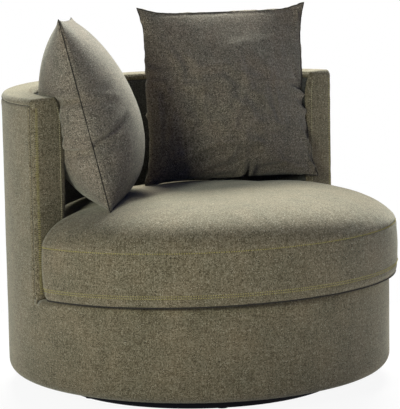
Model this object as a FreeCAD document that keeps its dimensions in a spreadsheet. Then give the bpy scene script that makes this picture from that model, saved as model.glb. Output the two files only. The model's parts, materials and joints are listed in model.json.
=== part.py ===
import FreeCAD, Part
import math
import os
import Sketcher

# Round swivel armchair: an upholstered tub on a ball-bearing turntable and a recessed round plinth.
# Lengths are millimetres and angles are degrees. +Z is up and the chair faces -Y.
# The origin lies on the floor, under the middle of the chair's length and width.

V = FreeCAD.Vector
doc = FreeCAD.newDocument("swivel_armchair")
dims = doc.addObject("Spreadsheet::Sheet", "dims")

# The tub as it is seen: a round wall with a sloping rim, open at the front over a round drum.
SHELL_SIZES = (
    ("outer_radius", 460),
    ("wall_thickness", 74),
    ("rim_height", 712),
    ("rim_tilt", 1.2),
    ("half_wrap", 87.3),
    ("rim_round", 16),
    ("skirt_height", 38),
    ("skirt_round", 25),
    ("cover_thickness", 2),
    ("foam_thickness", 9),
    ("panel_thickness", 3),
    ("arm_pad_angle", 1.7),
    ("arm_cover_angle", 0.3),
)

# The timber and plywood frame inside the upholstery.
FRAME_SIZES = (
    ("board_thickness", 18),
    ("rail_depth", 46),
    ("rail_thickness", 18),
    ("post_width", 50),
    ("post_slack", 1),
    ("part_play", 0.3),
    ("skirt_ring_setback", 28),
    ("skirt_ring_width", 28),
    ("seat_ring_width", 60),
    ("frame_screw_radius", 2.5),
    ("frame_screw_length", 60),
    ("frame_screw_head_radius", 5),
    ("frame_screw_head_height", 3),
)

# The sprung deck under the loose cushion. It slopes down towards the back.
DECK_SIZES = (
    ("deck_height", 248),
    ("seat_tilt", 2.1),
    ("edge_round", 14),
    ("edge_play", 0.8),
    ("webbing_thickness", 1.6),
    ("webbing_width", 60),
    ("webbing_pitch", 120),
    ("webbing_setback", 14),
    ("dust_cover_thickness", 0.6),
    ("dust_cover_opening", 170),
)

# The loose seat cushion: a box cushion with a round front and an ear before each arm.
CUSHION_SIZES = (
    ("cushion_overhang", 3),
    ("cushion_forward", 28),
    ("cushion_back_play", 5),
    ("cushion_ear_play", 5.4),
    ("cushion_ear_round", 30),
    ("cushion_rest", 0.3),
    ("cushion_low_seam", 24),
    ("cushion_top_seam", 125),
    ("cushion_crown", 87),
    ("cushion_seam_draw", 3),
    ("crown_fullness", 4.3),
    ("crown_shoulder", 1.46),
    ("cushion_foot_inset", 10),
    ("cushion_fabric", 2),
    ("foam_core_inset", 30),
    ("zip_width", 20),
    ("zip_thickness", 1.2),
    ("zip_play", 0.2),
    ("zip_sweep", 100),
    ("zip_rise", 60),
)

# The two loose pillows: knife-edged squares, one against the back and one against an arm.
PILLOW_SIZES = (
    ("pillow_side", 452),
    ("pillow_half_thickness", 104),
    ("pillow_draw", 17),
    ("pillow_thinning", 0.3),
    ("pillow_crossing", 1.08),
    ("pillow_fabric", 2),
    ("pillow_overrun", 12),
    ("pillow_rest", 0.4),
    ("back_pillow_setback", 236),
    ("back_pillow_round", 60.6),
    ("back_pillow_rise", 208),
    ("back_pillow_yaw", -21),
    ("back_pillow_lean", -12.5),
    ("back_pillow_roll", 0.3),
    ("arm_pillow_setback", 204),
    ("arm_pillow_round", -65),
    ("arm_pillow_rise", 198),
    ("arm_pillow_yaw", 51.5),
    ("arm_pillow_lean", -13.8),
    ("arm_pillow_roll", 3.8),
)

# The plinth on the floor and the turntable between it and the tub.
BASE_SIZES = (
    ("glide_height", 4),
    ("glide_radius", 14),
    ("glide_pin_radius", 2),
    ("glide_pin_length", 12),
    ("plinth_radius", 336),
    ("plinth_wall", 18),
    ("plinth_height", 36),
    ("plinth_board_thickness", 15),
    ("plinth_board_drop", 3),
    ("plate_side", 230),
    ("plate_thickness", 3),
    ("plate_hole_radius", 3.2),
    ("screw_spread", 95),
    ("race_radius", 90),
    ("race_width", 20),
    ("race_height", 3.5),
    ("race_gap", 2),
    ("ball_radius", 4),
    ("ball_play", 0.05),
    ("cage_thickness", 1.4),
    ("cage_play", 0.15),
    ("pivot_radius", 8),
    ("pivot_play", 0.1),
    ("pivot_head_radius", 16),
    ("pivot_head_height", 5),
    ("pivot_well_radius", 30),
    ("pivot_end", 2),
    ("pivot_washer_radius", 20),
    ("pivot_washer_thickness", 2),
    ("pivot_washer_play", 0.2),
    ("pivot_nut_radius", 14),
    ("pivot_nut_height", 10),
    ("plate_screw_radius", 2.5),
    ("plate_screw_length", 11),
    ("plate_screw_head_radius", 5.5),
    ("plate_screw_head_height", 3),
    ("plate_bolt_radius", 3),
    ("plate_bolt_head_radius", 5.5),
    ("plate_bolt_head_height", 3),
    ("plate_nut_radius", 5.8),
    ("plate_nut_height", 5),
)

# How many there are of each piece that repeats.
GLIDE_COUNT = 6
BALL_COUNT = 20
WALL_POST_COUNT = 4
FRONT_POST_COUNT = 4
STRAP_COUNT = 5
PLATE_CORNERS = ((1, 1), (-1, 1), (-1, -1), (1, -1))
HEX_SIDES = 6

SHEET_ROWS = SHELL_SIZES + FRAME_SIZES + DECK_SIZES + CUSHION_SIZES + PILLOW_SIZES + BASE_SIZES
for row, (alias, number) in enumerate(SHEET_ROWS, start=1):
    dims.set(f"A{row}", alias)
    dims.set(f"B{row}", str(number))
    dims.setAlias(f"B{row}", alias)
doc.recompute()

# Radii that are worked out from the outside of the wall inwards.
COVER_INNER = "(dims.outer_radius - dims.cover_thickness)"
PANEL_OUTER = f"({COVER_INNER} - dims.foam_thickness)"
FRAME_OUTER = f"({PANEL_OUTER} - dims.panel_thickness)"
FRAME_INNER = f"({FRAME_OUTER} - dims.rail_depth)"
LINER_OUTER = f"({FRAME_INNER} - dims.part_play)"
LINER_INNER = f"({LINER_OUTER} - dims.panel_thickness)"
WALL_INNER = "(dims.outer_radius - dims.wall_thickness)"
LINING_OUTER = f"({WALL_INNER} + dims.cover_thickness)"
DECK_RADIUS = f"({WALL_INNER} - dims.part_play)"
EDGE_INNER = f"({DECK_RADIUS} + dims.edge_play)"
CUSHION_FRONT = "(dims.outer_radius + dims.cushion_overhang)"
CUSHION_BACK = f"({WALL_INNER} - dims.cushion_back_play)"
CUSHION_EAR_LINE = f"({WALL_INNER} * cos(dims.half_wrap) - dims.cushion_ear_play)"
SKIRT_RING_OUTER = "(dims.outer_radius - dims.skirt_ring_setback)"
SKIRT_RING_INNER = f"({SKIRT_RING_OUTER} - dims.skirt_ring_width)"

# Levels over the floor, from the plinth up through the turntable to the tub's bottom board.
PLINTH_TOP = "(dims.glide_height + dims.plinth_height)"
PLINTH_BOARD_TOP = f"({PLINTH_TOP} - dims.plinth_board_drop)"
BALL_RISE = "(dims.plate_thickness + dims.race_height + dims.race_gap / 2)"
BALL_LEVEL = f"({PLINTH_BOARD_TOP} + {BALL_RISE})"
TUB_BASE = f"({BALL_LEVEL} + {BALL_RISE})"
BOARD_TOP = f"({TUB_BASE} + dims.board_thickness)"
SKIRT_INSIDE = "(dims.skirt_height + dims.cover_thickness)"
SKIRT_CORNER = "(dims.skirt_height + dims.skirt_round)"

# Levels along the sloping rim and the sloping deck, counted from each one's own top.
RIM_SEAM = "(-dims.rim_round)"
TOP_RAIL_FOOT = f"({RIM_SEAM} - dims.rail_thickness)"
DECK_PAD_TOP = "(-dims.cover_thickness)"
FRONT_RAIL_TOP = "(-dims.edge_round)"
FRONT_RAIL_FOOT = f"({FRONT_RAIL_TOP} - dims.rail_thickness)"
WEBBING_MIDDLE = f"({FRONT_RAIL_TOP} - dims.webbing_thickness)"
SEAT_RING_TOP = f"({WEBBING_MIDDLE} - dims.webbing_thickness)"
SEAT_RING_FOOT = f"({SEAT_RING_TOP} - dims.rail_thickness)"

# How far round from the middle of the back each layer of an arm's end lies.
ARM_COVER_START = "(dims.half_wrap - dims.arm_cover_angle)"
ARM_PAD_START = f"({ARM_COVER_START} - dims.arm_pad_angle)"
FULL_TURN = "360"
HALF_TURN = "180"
QUARTER_TURN = "90"


def size(formula):
    return float(dims.evalExpression(formula))


def turned(angle):
    return f"placement(vector(0; 0; 0); rotation(vector(0; 0; 1); {angle}))"


def shifted(across, behind, height):
    return f"placement(vector({across}; {behind}; {height}); rotation(vector(0; 0; 1); 0))"


def tilted(angle):
    return f"placement(vector(0; 0; 0); rotation(vector(1; 0; 0); {angle}))"


def rolled(angle):
    return f"placement(vector(0; 0; 0); rotation(vector(0; 1; 0); {angle}))"


UPRIGHT = turned("0")
RIM_FRAME = shifted("0", "0", "dims.rim_height") + " * " + tilted("-dims.rim_tilt")
SEAT_FRAME = shifted("0", "0", "dims.deck_height") + " * " + tilted("-dims.seat_tilt")
FACING_FRONT = turned(HALF_TURN)
CROSSWISE = turned(QUARTER_TURN)

# The cushion stands out in front, so the swivel's axis lies this far behind the middle of the whole chair.
AXIS_BEHIND = "((dims.cushion_overhang + dims.cushion_forward) / 2)"
CHAIR_FRAME = shifted("0", AXIS_BEHIND, "0")

nodes = []


def put(piece, where):
    """Sets a piece down at a place that is counted from the swivel's axis."""
    piece.setExpression("Placement", CHAIR_FRAME + " * " + where)
    return piece


def keep(piece, label):
    """Names a finished piece and lists it as a sub-part."""
    piece.Label = label
    nodes.append(piece)
    return piece


def cylinder(name, radius, height, where):
    """A solid cylinder that stands on the given place."""
    piece = doc.addObject("Part::Cylinder", name)
    piece.setExpression("Radius", radius)
    piece.setExpression("Height", height)
    return put(piece, where)


def block(name, length, width, height, where):
    """A rectangular block with one corner at the given place."""
    piece = doc.addObject("Part::Box", name)
    piece.setExpression("Length", length)
    piece.setExpression("Width", width)
    piece.setExpression("Height", height)
    return put(piece, where)


def prism(name, radius, height, where):
    """A hexagonal prism for a nut."""
    piece = doc.addObject("Part::Prism", name)
    piece.Polygon = HEX_SIDES
    piece.setExpression("Circumradius", radius)
    piece.setExpression("Height", height)
    return put(piece, where)


def cut(name, base, *tools):
    """The base with every tool taken away, one after another."""
    piece = base
    for step, tool in enumerate(tools, start=1):
        result = doc.addObject("Part::Cut", f"{name}_cut_{step}")
        result.Base = piece
        result.Tool = tool
        piece = result
    return piece


def joined(name, *pieces):
    """Several touching shapes made into one solid."""
    result = doc.addObject("Part::MultiFuse", name)
    result.Shapes = list(pieces)
    return result


def grouped(name, pieces):
    """Several separate solids kept as one sub-part."""
    result = doc.addObject("Part::Compound", name)
    result.Links = list(pieces)
    return result


def arc_between(start, end, radius):
    """The arc of under a half circle from start to end, its centre on the left for a positive radius."""
    middle = (start + end) * 0.5
    chord = end - start
    height = math.sqrt(radius * radius - chord.Length * chord.Length / 4)
    left = V(-chord.y, chord.x, 0).normalize()
    centre = middle + left * (height if radius > 0 else -height)
    circle = Part.Circle(centre, V(0, 0, 1), abs(radius))
    first, last = (start, end) if radius > 0 else (end, start)
    return Part.ArcOfCircle(circle, circle.parameter(first), circle.parameter(last))


def turned_profile(name, outline, sweep, where):
    """A body turned round the upright axis from an outline of (radius, level, round to the next corner)."""
    body = doc.addObject("PartDesign::Body", name)
    plane = [item for item in body.Origin.OriginFeatures if item.Role == "YZ_Plane"][0]
    sketch = body.newObject("Sketcher::SketchObject", f"{name}_outline")
    sketch.AttachmentSupport = [(plane, "")]
    sketch.MapMode = "FlatFace"
    corners = [V(size(corner[0]), size(corner[1]), 0) for corner in outline]
    ends = []
    for index, corner in enumerate(outline):
        start = corners[index]
        end = corners[(index + 1) % len(corners)]
        if len(corner) == 2:
            sketch.addGeometry(Part.LineSegment(start, end), False)
            ends.append((1, 2))
            continue
        radius = size(corner[2])
        sketch.addGeometry(arc_between(start, end, radius), False)
        ends.append((1, 2) if radius > 0 else (2, 1))
        bound = sketch.addConstraint(Sketcher.Constraint("Radius", index, abs(radius)))
        sketch.setExpression(f"Constraints[{bound}]", f"abs({corner[2]})")
    for index in range(len(outline)):
        following = (index + 1) % len(outline)
        sketch.addConstraint(
            Sketcher.Constraint("Coincident", index, ends[index][1], following, ends[following][0])
        )
    for index, corner in enumerate(outline):
        for kind, formula in zip(("DistanceX", "DistanceY"), corner):
            rule = Sketcher.Constraint(kind, -1, 1, index, ends[index][0], size(formula))
            bound = sketch.addConstraint(rule)
            sketch.setExpression(f"Constraints[{bound}]", formula)
    turn = body.newObject("PartDesign::Revolution", f"{name}_turn")
    turn.Profile = sketch
    turn.ReferenceAxis = (sketch, ["V_Axis"])
    turn.setExpression("Angle", sweep)
    turn.Midplane = True
    body.Tip = turn
    return put(body, where)


def band(inner, outer, low, high):
    """The outline of a plain ring."""
    return ((inner, low), (outer, low), (outer, high), (inner, high))


# A trimming block is this many times as wide as the wall's outer radius.
TRIM_REACH_SHARE = 3
trimmers = {}


def trimmer(frame_name, level, above):
    """A block that takes away everything above or below a level of the rim's or the deck's slope."""
    key = (frame_name, level, above)
    if key not in trimmers:
        frame = RIM_FRAME if frame_name == "rim" else SEAT_FRAME
        reach = f"(dims.outer_radius * {TRIM_REACH_SHARE})"
        foot = level if above else f"({level} - {reach})"
        where = frame + " * " + shifted(f"-{reach} / 2", f"-{reach} / 2", foot)
        trimmers[key] = block(f"trim_{len(trimmers)}", reach, reach, reach, where)
    return trimmers[key]


def over_rim(level):
    return trimmer("rim", level, True)


def under_rim(level):
    return trimmer("rim", level, False)


def over_deck(level):
    return trimmer("deck", level, True)


def under_deck(level):
    return trimmer("deck", level, False)


# Plinth: glides, ring and board

GLIDE_CIRCLE = "(dims.plinth_radius - dims.plinth_wall / 2)"


def glide(index):
    spot = turned(f"{FULL_TURN} / {GLIDE_COUNT} * {index}") + " * " + shifted(GLIDE_CIRCLE, "0", "0")
    pad = cylinder(f"glide_pad_{index}", "dims.glide_radius", "dims.glide_height", spot)
    pin = glide_pin(f"glide_pin_{index}", index)
    return joined(f"glide_{index}", pad, pin)


def glide_pin(name, index):
    spot = turned(f"{FULL_TURN} / {GLIDE_COUNT} * {index}")
    spot = spot + " * " + shifted(GLIDE_CIRCLE, "0", "dims.glide_height")
    return cylinder(name, "dims.glide_pin_radius", "dims.glide_pin_length", spot)


glides = keep(grouped("glides", [glide(index) for index in range(GLIDE_COUNT)]), "floor_glides")
glide_holes = grouped("glide_holes", [glide_pin(f"glide_hole_{index}", index) for index in range(GLIDE_COUNT)])

PLINTH_INNER = "(dims.plinth_radius - dims.plinth_wall)"
ring_outline = band(PLINTH_INNER, "dims.plinth_radius", "dims.glide_height", PLINTH_TOP)
ring_blank = turned_profile("plinth_ring_blank", ring_outline, FULL_TURN, UPRIGHT)
keep(cut("plinth_ring", ring_blank, glide_holes), "plinth_ring")


def plate_corner_rods(name, radius, height, foot):
    """Four upright rods at the corners of the turntable's bolt square."""
    rods = []
    for index, (side, end) in enumerate(PLATE_CORNERS):
        where = shifted(f"{side} * dims.screw_spread", f"{end} * dims.screw_spread", foot)
        rods.append(cylinder(f"{name}_{index}", radius, height, where))
    return rods


def plate_corner_group(name, head_radius, head_height, head_foot, stem_radius, stem_height, stem_foot):
    """Four headed fasteners at the corners of the turntable's bolt square."""
    heads = plate_corner_rods(f"{name}_head", head_radius, head_height, head_foot)
    stems = plate_corner_rods(f"{name}_stem", stem_radius, stem_height, stem_foot)
    return grouped(name, [joined(f"{name}_{index}", *pair) for index, pair in enumerate(zip(heads, stems))])


PLATE_TOP = f"({PLINTH_BOARD_TOP} + dims.plate_thickness)"
PLATE_SCREW_TIP = f"({PLINTH_BOARD_TOP} - dims.plate_screw_length)"
PLATE_SCREW_STEM = "(dims.plate_screw_length + dims.plate_thickness)"
screw_pilots = grouped(
    "screw_pilots",
    plate_corner_rods("screw_pilot", "dims.plate_screw_radius", "dims.plate_screw_length", PLATE_SCREW_TIP),
)
PLINTH_BOARD_FOOT = f"({PLINTH_BOARD_TOP} - dims.plinth_board_thickness)"
board_place = shifted("0", "0", PLINTH_BOARD_FOOT)
plinth_board_blank = cylinder("plinth_board_blank", PLINTH_INNER, "dims.plinth_board_thickness", board_place)
plinth_well = cylinder("plinth_well", "dims.pivot_well_radius", "dims.plinth_board_thickness", board_place)
keep(cut("plinth_board", plinth_board_blank, plinth_well, screw_pilots), "plinth_board")

# Turntable: two pressed plates with ball races, balls in a cage, and the pivot that holds it together

GROOVE_RADIUS = "(dims.ball_radius + dims.ball_play)"
GROOVE_HALF = f"sqrt({GROOVE_RADIUS}^2 - (dims.race_gap / 2)^2)"
RACE_TOP = "(dims.plate_thickness + dims.race_height)"
RACE_INNER = "(dims.race_radius - dims.race_width / 2)"
RACE_OUTER = "(dims.race_radius + dims.race_width / 2)"


def swivel_plate(label, bore, where):
    """A square plate with a raised ring that is grooved for the balls, seen with the ring upwards."""
    half = "(dims.plate_side / 2)"
    corner = where + " * " + shifted(f"-{half}", f"-{half}", "0")
    square = block(f"{label}_square", "dims.plate_side", "dims.plate_side", "dims.plate_thickness", corner)
    race_outline = (
        (RACE_INNER, "dims.plate_thickness"),
        (RACE_OUTER, "dims.plate_thickness"),
        (RACE_OUTER, RACE_TOP),
        (f"(dims.race_radius + {GROOVE_HALF})", RACE_TOP, f"-{GROOVE_RADIUS}"),
        (f"(dims.race_radius - {GROOVE_HALF})", RACE_TOP),
        (RACE_INNER, RACE_TOP),
    )
    race = turned_profile(f"{label}_race", race_outline, FULL_TURN, where)
    bore_rod = cylinder(f"{label}_bore", bore, "dims.plate_thickness", where)
    holes = []
    for index, (side, end) in enumerate(PLATE_CORNERS):
        spot = where + " * " + shifted(f"{side} * dims.screw_spread", f"{end} * dims.screw_spread", "0")
        holes.append(cylinder(f"{label}_hole_{index}", "dims.plate_hole_radius", "dims.plate_thickness", spot))
    whole = joined(f"{label}_whole", square, race)
    return keep(cut(label, whole, bore_rod, grouped(f"{label}_holes", holes)), label)


swivel_plate("swivel_lower_plate", "dims.pivot_radius", shifted("0", "0", PLINTH_BOARD_TOP))
swivel_plate(
    "swivel_upper_plate",
    "(dims.pivot_radius + dims.pivot_play)",
    shifted("0", "0", TUB_BASE) + " * " + tilted(HALF_TURN),
)


def ball_spot(index, height):
    return turned(f"{FULL_TURN} / {BALL_COUNT} * {index}") + " * " + shifted("dims.race_radius", "0", height)


def ball(index):
    piece = doc.addObject("Part::Sphere", f"ball_{index}")
    piece.setExpression("Radius", "dims.ball_radius")
    return put(piece, ball_spot(index, BALL_LEVEL))


def cage_hole(index):
    hole_radius = f"({GROOVE_RADIUS} + dims.cage_play)"
    return cylinder(f"cage_hole_{index}", hole_radius, "dims.cage_thickness", ball_spot(index, CAGE_FOOT))


CAGE_FOOT = f"({BALL_LEVEL} - dims.cage_thickness / 2)"
CAGE_TOP = f"({BALL_LEVEL} + dims.cage_thickness / 2)"
keep(grouped("balls", [ball(index) for index in range(BALL_COUNT)]), "swivel_balls")
cage_blank = turned_profile("cage_blank", band(RACE_INNER, RACE_OUTER, CAGE_FOOT, CAGE_TOP), FULL_TURN, UPRIGHT)
cage_holes = grouped("cage_holes", [cage_hole(index) for index in range(BALL_COUNT)])
keep(cut("ball_cage", cage_blank, cage_holes), "ball_cage")

WASHER_FOOT = f"({TUB_BASE} + dims.pivot_washer_play)"
NUT_FOOT = f"({WASHER_FOOT} + dims.pivot_washer_thickness)"
PIVOT_LENGTH = f"({NUT_FOOT} + dims.pivot_nut_height + dims.pivot_end - {PLINTH_BOARD_TOP})"
pivot_head = cylinder(
    "pivot_head",
    "dims.pivot_head_radius",
    "dims.pivot_head_height",
    shifted("0", "0", f"{PLINTH_BOARD_TOP} - dims.pivot_head_height"),
)
pivot_stem = cylinder("pivot_stem", "dims.pivot_radius", PIVOT_LENGTH, shifted("0", "0", PLINTH_BOARD_TOP))
keep(joined("pivot", pivot_head, pivot_stem), "swivel_pivot")


def pivot_bore(name, height, foot):
    return cylinder(name, "dims.pivot_radius", height, shifted("0", "0", foot))


washer_blank = cylinder(
    "washer_blank", "dims.pivot_washer_radius", "dims.pivot_washer_thickness", shifted("0", "0", WASHER_FOOT)
)
washer_bore = pivot_bore("washer_bore", "dims.pivot_washer_thickness", WASHER_FOOT)
keep(cut("pivot_washer", washer_blank, washer_bore), "pivot_washer")
nut_blank = prism("nut_blank", "dims.pivot_nut_radius", "dims.pivot_nut_height", shifted("0", "0", NUT_FOOT))
nut_bore = pivot_bore("nut_bore", "dims.pivot_nut_height", NUT_FOOT)
keep(cut("pivot_nut", nut_blank, nut_bore), "pivot_nut")

plate_screws = plate_corner_group(
    "plate_screw",
    "dims.plate_screw_head_radius", "dims.plate_screw_head_height", PLATE_TOP,
    "dims.plate_screw_radius", PLATE_SCREW_STEM, PLATE_SCREW_TIP,
)
keep(plate_screws, "lower_plate_screws")

BOLT_HEAD_FOOT = f"({TUB_BASE} - dims.plate_thickness - dims.plate_bolt_head_height)"
BOLT_STEM_FOOT = f"({TUB_BASE} - dims.plate_thickness)"
BOLT_STEM = "(dims.plate_thickness + dims.board_thickness + dims.plate_nut_height)"
plate_bolts = plate_corner_group(
    "plate_bolt",
    "dims.plate_bolt_head_radius", "dims.plate_bolt_head_height", BOLT_HEAD_FOOT,
    "dims.plate_bolt_radius", BOLT_STEM, BOLT_STEM_FOOT,
)
keep(plate_bolts, "upper_plate_bolts")


def plate_nut(index, side, end):
    where = shifted(f"{side} * dims.screw_spread", f"{end} * dims.screw_spread", BOARD_TOP)
    blank = prism(f"plate_nut_blank_{index}", "dims.plate_nut_radius", "dims.plate_nut_height", where)
    bore = cylinder(f"plate_nut_bore_{index}", "dims.plate_bolt_radius", "dims.plate_nut_height", where)
    return cut(f"plate_nut_{index}", blank, bore)


plate_nuts = [plate_nut(index, side, end) for index, (side, end) in enumerate(PLATE_CORNERS)]
keep(grouped("plate_nuts", plate_nuts), "upper_plate_nuts")

# Tub frame: bottom board, skirt ring, posts and rails

POST_REACH = "(dims.rail_depth - dims.post_slack)"
POST_SPREAD = f"(atan(dims.post_width / 2 / {FRAME_INNER}) / 1 deg)"
ARM_POST_ANGLE = f"({ARM_PAD_START} - {POST_SPREAD})"
FRONT_SPAN = f"({HALF_TURN} - {ARM_PAD_START})"

post_angles = {
    "arm_post_left": f"-{ARM_POST_ANGLE}",
    "arm_post_right": f"{ARM_POST_ANGLE}",
}
for index in range(WALL_POST_COUNT):
    share = (2 * index + 2) / (WALL_POST_COUNT + 1) - 1
    post_angles[f"wall_post_{index + 1}"] = f"{ARM_POST_ANGLE} * {share}"
for index in range(FRONT_POST_COUNT):
    share = (2 * index + 1) / FRONT_POST_COUNT - 1
    post_angles[f"front_post_{index + 1}"] = f"{HALF_TURN} + {FRONT_SPAN} * {share}"


def round_from_back(angle):
    """The turn that takes the +X direction to a place counted clockwise from the middle of the back."""
    return turned(f"{QUARTER_TURN} - {angle}")


def frame_screw(name, angle):
    spot = round_from_back(angle) + " * " + shifted(f"{FRAME_INNER} + {POST_REACH} / 2", "0", TUB_BASE)
    head = cylinder(f"{name}_head", "dims.frame_screw_head_radius", "dims.frame_screw_head_height", spot)
    stem = cylinder(f"{name}_stem", "dims.frame_screw_radius", "dims.frame_screw_length", spot)
    return joined(name, head, stem)


frame_screws = [frame_screw(f"{name}_screw", angle) for name, angle in post_angles.items()]
frame_screw_set = keep(grouped("frame_screw_set", frame_screws), "frame_screws")


def post(label, angle, top_trim):
    """An upright batten, screwed to the board below it and cut to the slope of the rail above it."""
    spot = shifted(FRAME_INNER, "-dims.post_width / 2", BOARD_TOP)
    where = round_from_back(angle) + " * " + spot
    blank = block(f"{label}_blank", POST_REACH, "dims.post_width", "dims.rim_height", where)
    return keep(cut(label, blank, top_trim, frame_screw_set), label)


for label, angle in post_angles.items():
    full_height = not label.startswith("front")
    post(label, angle, over_rim(TOP_RAIL_FOOT) if full_height else over_deck(FRONT_RAIL_FOOT))

board_place = shifted("0", "0", TUB_BASE)
bottom_blank = cylinder("bottom_blank", FRAME_OUTER, "dims.board_thickness", board_place)
bottom_well = cylinder("bottom_well", "dims.pivot_well_radius", "dims.board_thickness", board_place)
bolt_holes = grouped(
    "bolt_holes",
    plate_corner_rods("bolt_hole", "dims.plate_hole_radius", "dims.board_thickness", TUB_BASE),
)
keep(cut("bottom_board", bottom_blank, bottom_well, bolt_holes, frame_screw_set), "bottom_board")
skirt_ring = turned_profile(
    "skirt_ring_body", band(SKIRT_RING_INNER, SKIRT_RING_OUTER, SKIRT_INSIDE, TUB_BASE), FULL_TURN, UPRIGHT
)
keep(skirt_ring, "skirt_ring")

# Upright rings and sectors reach past the slopes that trim them.
WALL_TOP = "(dims.rim_height + dims.rim_round)"
BACK_INNER_SWEEP = f"(2 * {ARM_PAD_START})"
BACK_COVER_SWEEP = f"(2 * {ARM_COVER_START})"
FRONT_INNER_SWEEP = f"({FULL_TURN} - 2 * {ARM_PAD_START})"
FRONT_COVER_SWEEP = f"({FULL_TURN} - 2 * {ARM_COVER_START})"
FRONT_EDGE_SWEEP = f"({FULL_TURN} - 2 * dims.half_wrap)"


def sliced(label, outline, sweep, facing, *trims):
    """An upright ring or sector, trimmed by the slope of the rim or the deck."""
    blank = turned_profile(f"{label}_blank", outline, sweep, facing)
    return keep(cut(label, blank, *trims), label)


frame_band = band(FRAME_INNER, FRAME_OUTER, BOARD_TOP, WALL_TOP)
sliced("top_rail", frame_band, BACK_INNER_SWEEP, UPRIGHT, over_rim(RIM_SEAM), under_rim(TOP_RAIL_FOOT))
sliced(
    "front_rail", frame_band, FRONT_INNER_SWEEP, FACING_FRONT,
    over_deck(FRONT_RAIL_TOP), under_deck(FRONT_RAIL_FOOT),
)
seat_ring_band = band(f"({LINER_OUTER} - dims.seat_ring_width)", LINER_OUTER, BOARD_TOP, WALL_TOP)
sliced(
    "seat_ring", seat_ring_band, FULL_TURN, UPRIGHT,
    over_deck(SEAT_RING_TOP), under_deck(SEAT_RING_FOOT),
)

# Panels, padding and covers of the wall

panel_band = band(FRAME_OUTER, PANEL_OUTER, TUB_BASE, WALL_TOP)
sliced("outer_panel", panel_band, BACK_INNER_SWEEP, UPRIGHT, over_rim(RIM_SEAM))
sliced("front_panel", panel_band, FRONT_INNER_SWEEP, FACING_FRONT, over_deck(FRONT_RAIL_TOP))
liner_band = band(LINER_INNER, LINER_OUTER, BOARD_TOP, WALL_TOP)
sliced(
    "inner_panel", liner_band, BACK_INNER_SWEEP, UPRIGHT,
    over_rim(RIM_SEAM), under_deck(SEAT_RING_TOP),
)
lining_band = band(LINING_OUTER, LINER_INNER, BOARD_TOP, WALL_TOP)
sliced(
    "inner_wall_foam", lining_band, BACK_INNER_SWEEP, UPRIGHT,
    over_rim(RIM_SEAM), under_deck(SEAT_RING_TOP),
)

SKIRT_TURN = "(dims.outer_radius - dims.skirt_round)"
SKIRT_TURN_INSIDE = "(dims.skirt_round - dims.cover_thickness)"
wall_foam_outline = (
    (SKIRT_RING_OUTER, SKIRT_INSIDE),
    (SKIRT_TURN, SKIRT_INSIDE, SKIRT_TURN_INSIDE),
    (COVER_INNER, SKIRT_CORNER),
    (COVER_INNER, WALL_TOP),
    (PANEL_OUTER, WALL_TOP),
    (PANEL_OUTER, TUB_BASE),
    (SKIRT_RING_OUTER, TUB_BASE),
)
sliced("outer_wall_foam", wall_foam_outline, BACK_INNER_SWEEP, UPRIGHT, over_rim(RIM_SEAM))
sliced("front_wall_foam", wall_foam_outline, FRONT_INNER_SWEEP, FACING_FRONT, over_deck(FRONT_RAIL_TOP))

wall_cover_outline = (
    (SKIRT_RING_INNER, "dims.skirt_height"),
    (SKIRT_TURN, "dims.skirt_height", "dims.skirt_round"),
    ("dims.outer_radius", SKIRT_CORNER),
    ("dims.outer_radius", WALL_TOP),
    (COVER_INNER, WALL_TOP),
    (COVER_INNER, SKIRT_CORNER, f"-{SKIRT_TURN_INSIDE}"),
    (SKIRT_TURN, SKIRT_INSIDE),
    (SKIRT_RING_INNER, SKIRT_INSIDE),
)
sliced("outer_cover", wall_cover_outline, BACK_COVER_SWEEP, UPRIGHT, over_rim(RIM_SEAM))
sliced("front_cover", wall_cover_outline, FRONT_COVER_SWEEP, FACING_FRONT, over_deck(FRONT_RAIL_TOP))
inner_cover_band = band(WALL_INNER, LINING_OUTER, BOARD_TOP, WALL_TOP)
sliced(
    "inner_cover", inner_cover_band, BACK_COVER_SWEEP, UPRIGHT,
    over_rim(RIM_SEAM), under_deck(SEAT_RING_TOP),
)

# Rim: a padded band over the top rail, rounded on both edges

RIM_PAD_ROUND = "(dims.rim_round - dims.cover_thickness)"
RIM_OUT = "(dims.outer_radius - dims.rim_round)"
RIM_IN = f"({WALL_INNER} + dims.rim_round)"
rim_pad_outline = (
    (LINING_OUTER, RIM_SEAM),
    (COVER_INNER, RIM_SEAM, RIM_PAD_ROUND),
    (RIM_OUT, DECK_PAD_TOP),
    (RIM_IN, DECK_PAD_TOP, RIM_PAD_ROUND),
)
keep(turned_profile("rim_foam_body", rim_pad_outline, BACK_COVER_SWEEP, RIM_FRAME), "rim_foam")
rim_cover_outline = (
    (COVER_INNER, RIM_SEAM),
    ("dims.outer_radius", RIM_SEAM, "dims.rim_round"),
    (RIM_OUT, "0"),
    (RIM_IN, "0", "dims.rim_round"),
    (WALL_INNER, RIM_SEAM),
    (LINING_OUTER, RIM_SEAM, f"-{RIM_PAD_ROUND}"),
    (RIM_IN, DECK_PAD_TOP),
    (RIM_OUT, DECK_PAD_TOP, f"-{RIM_PAD_ROUND}"),
)
keep(turned_profile("rim_cover_body", rim_cover_outline, BACK_COVER_SWEEP, RIM_FRAME), "rim_cover")

# Arm ends: a pad and a flat cover across the wall's two front ends

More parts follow.
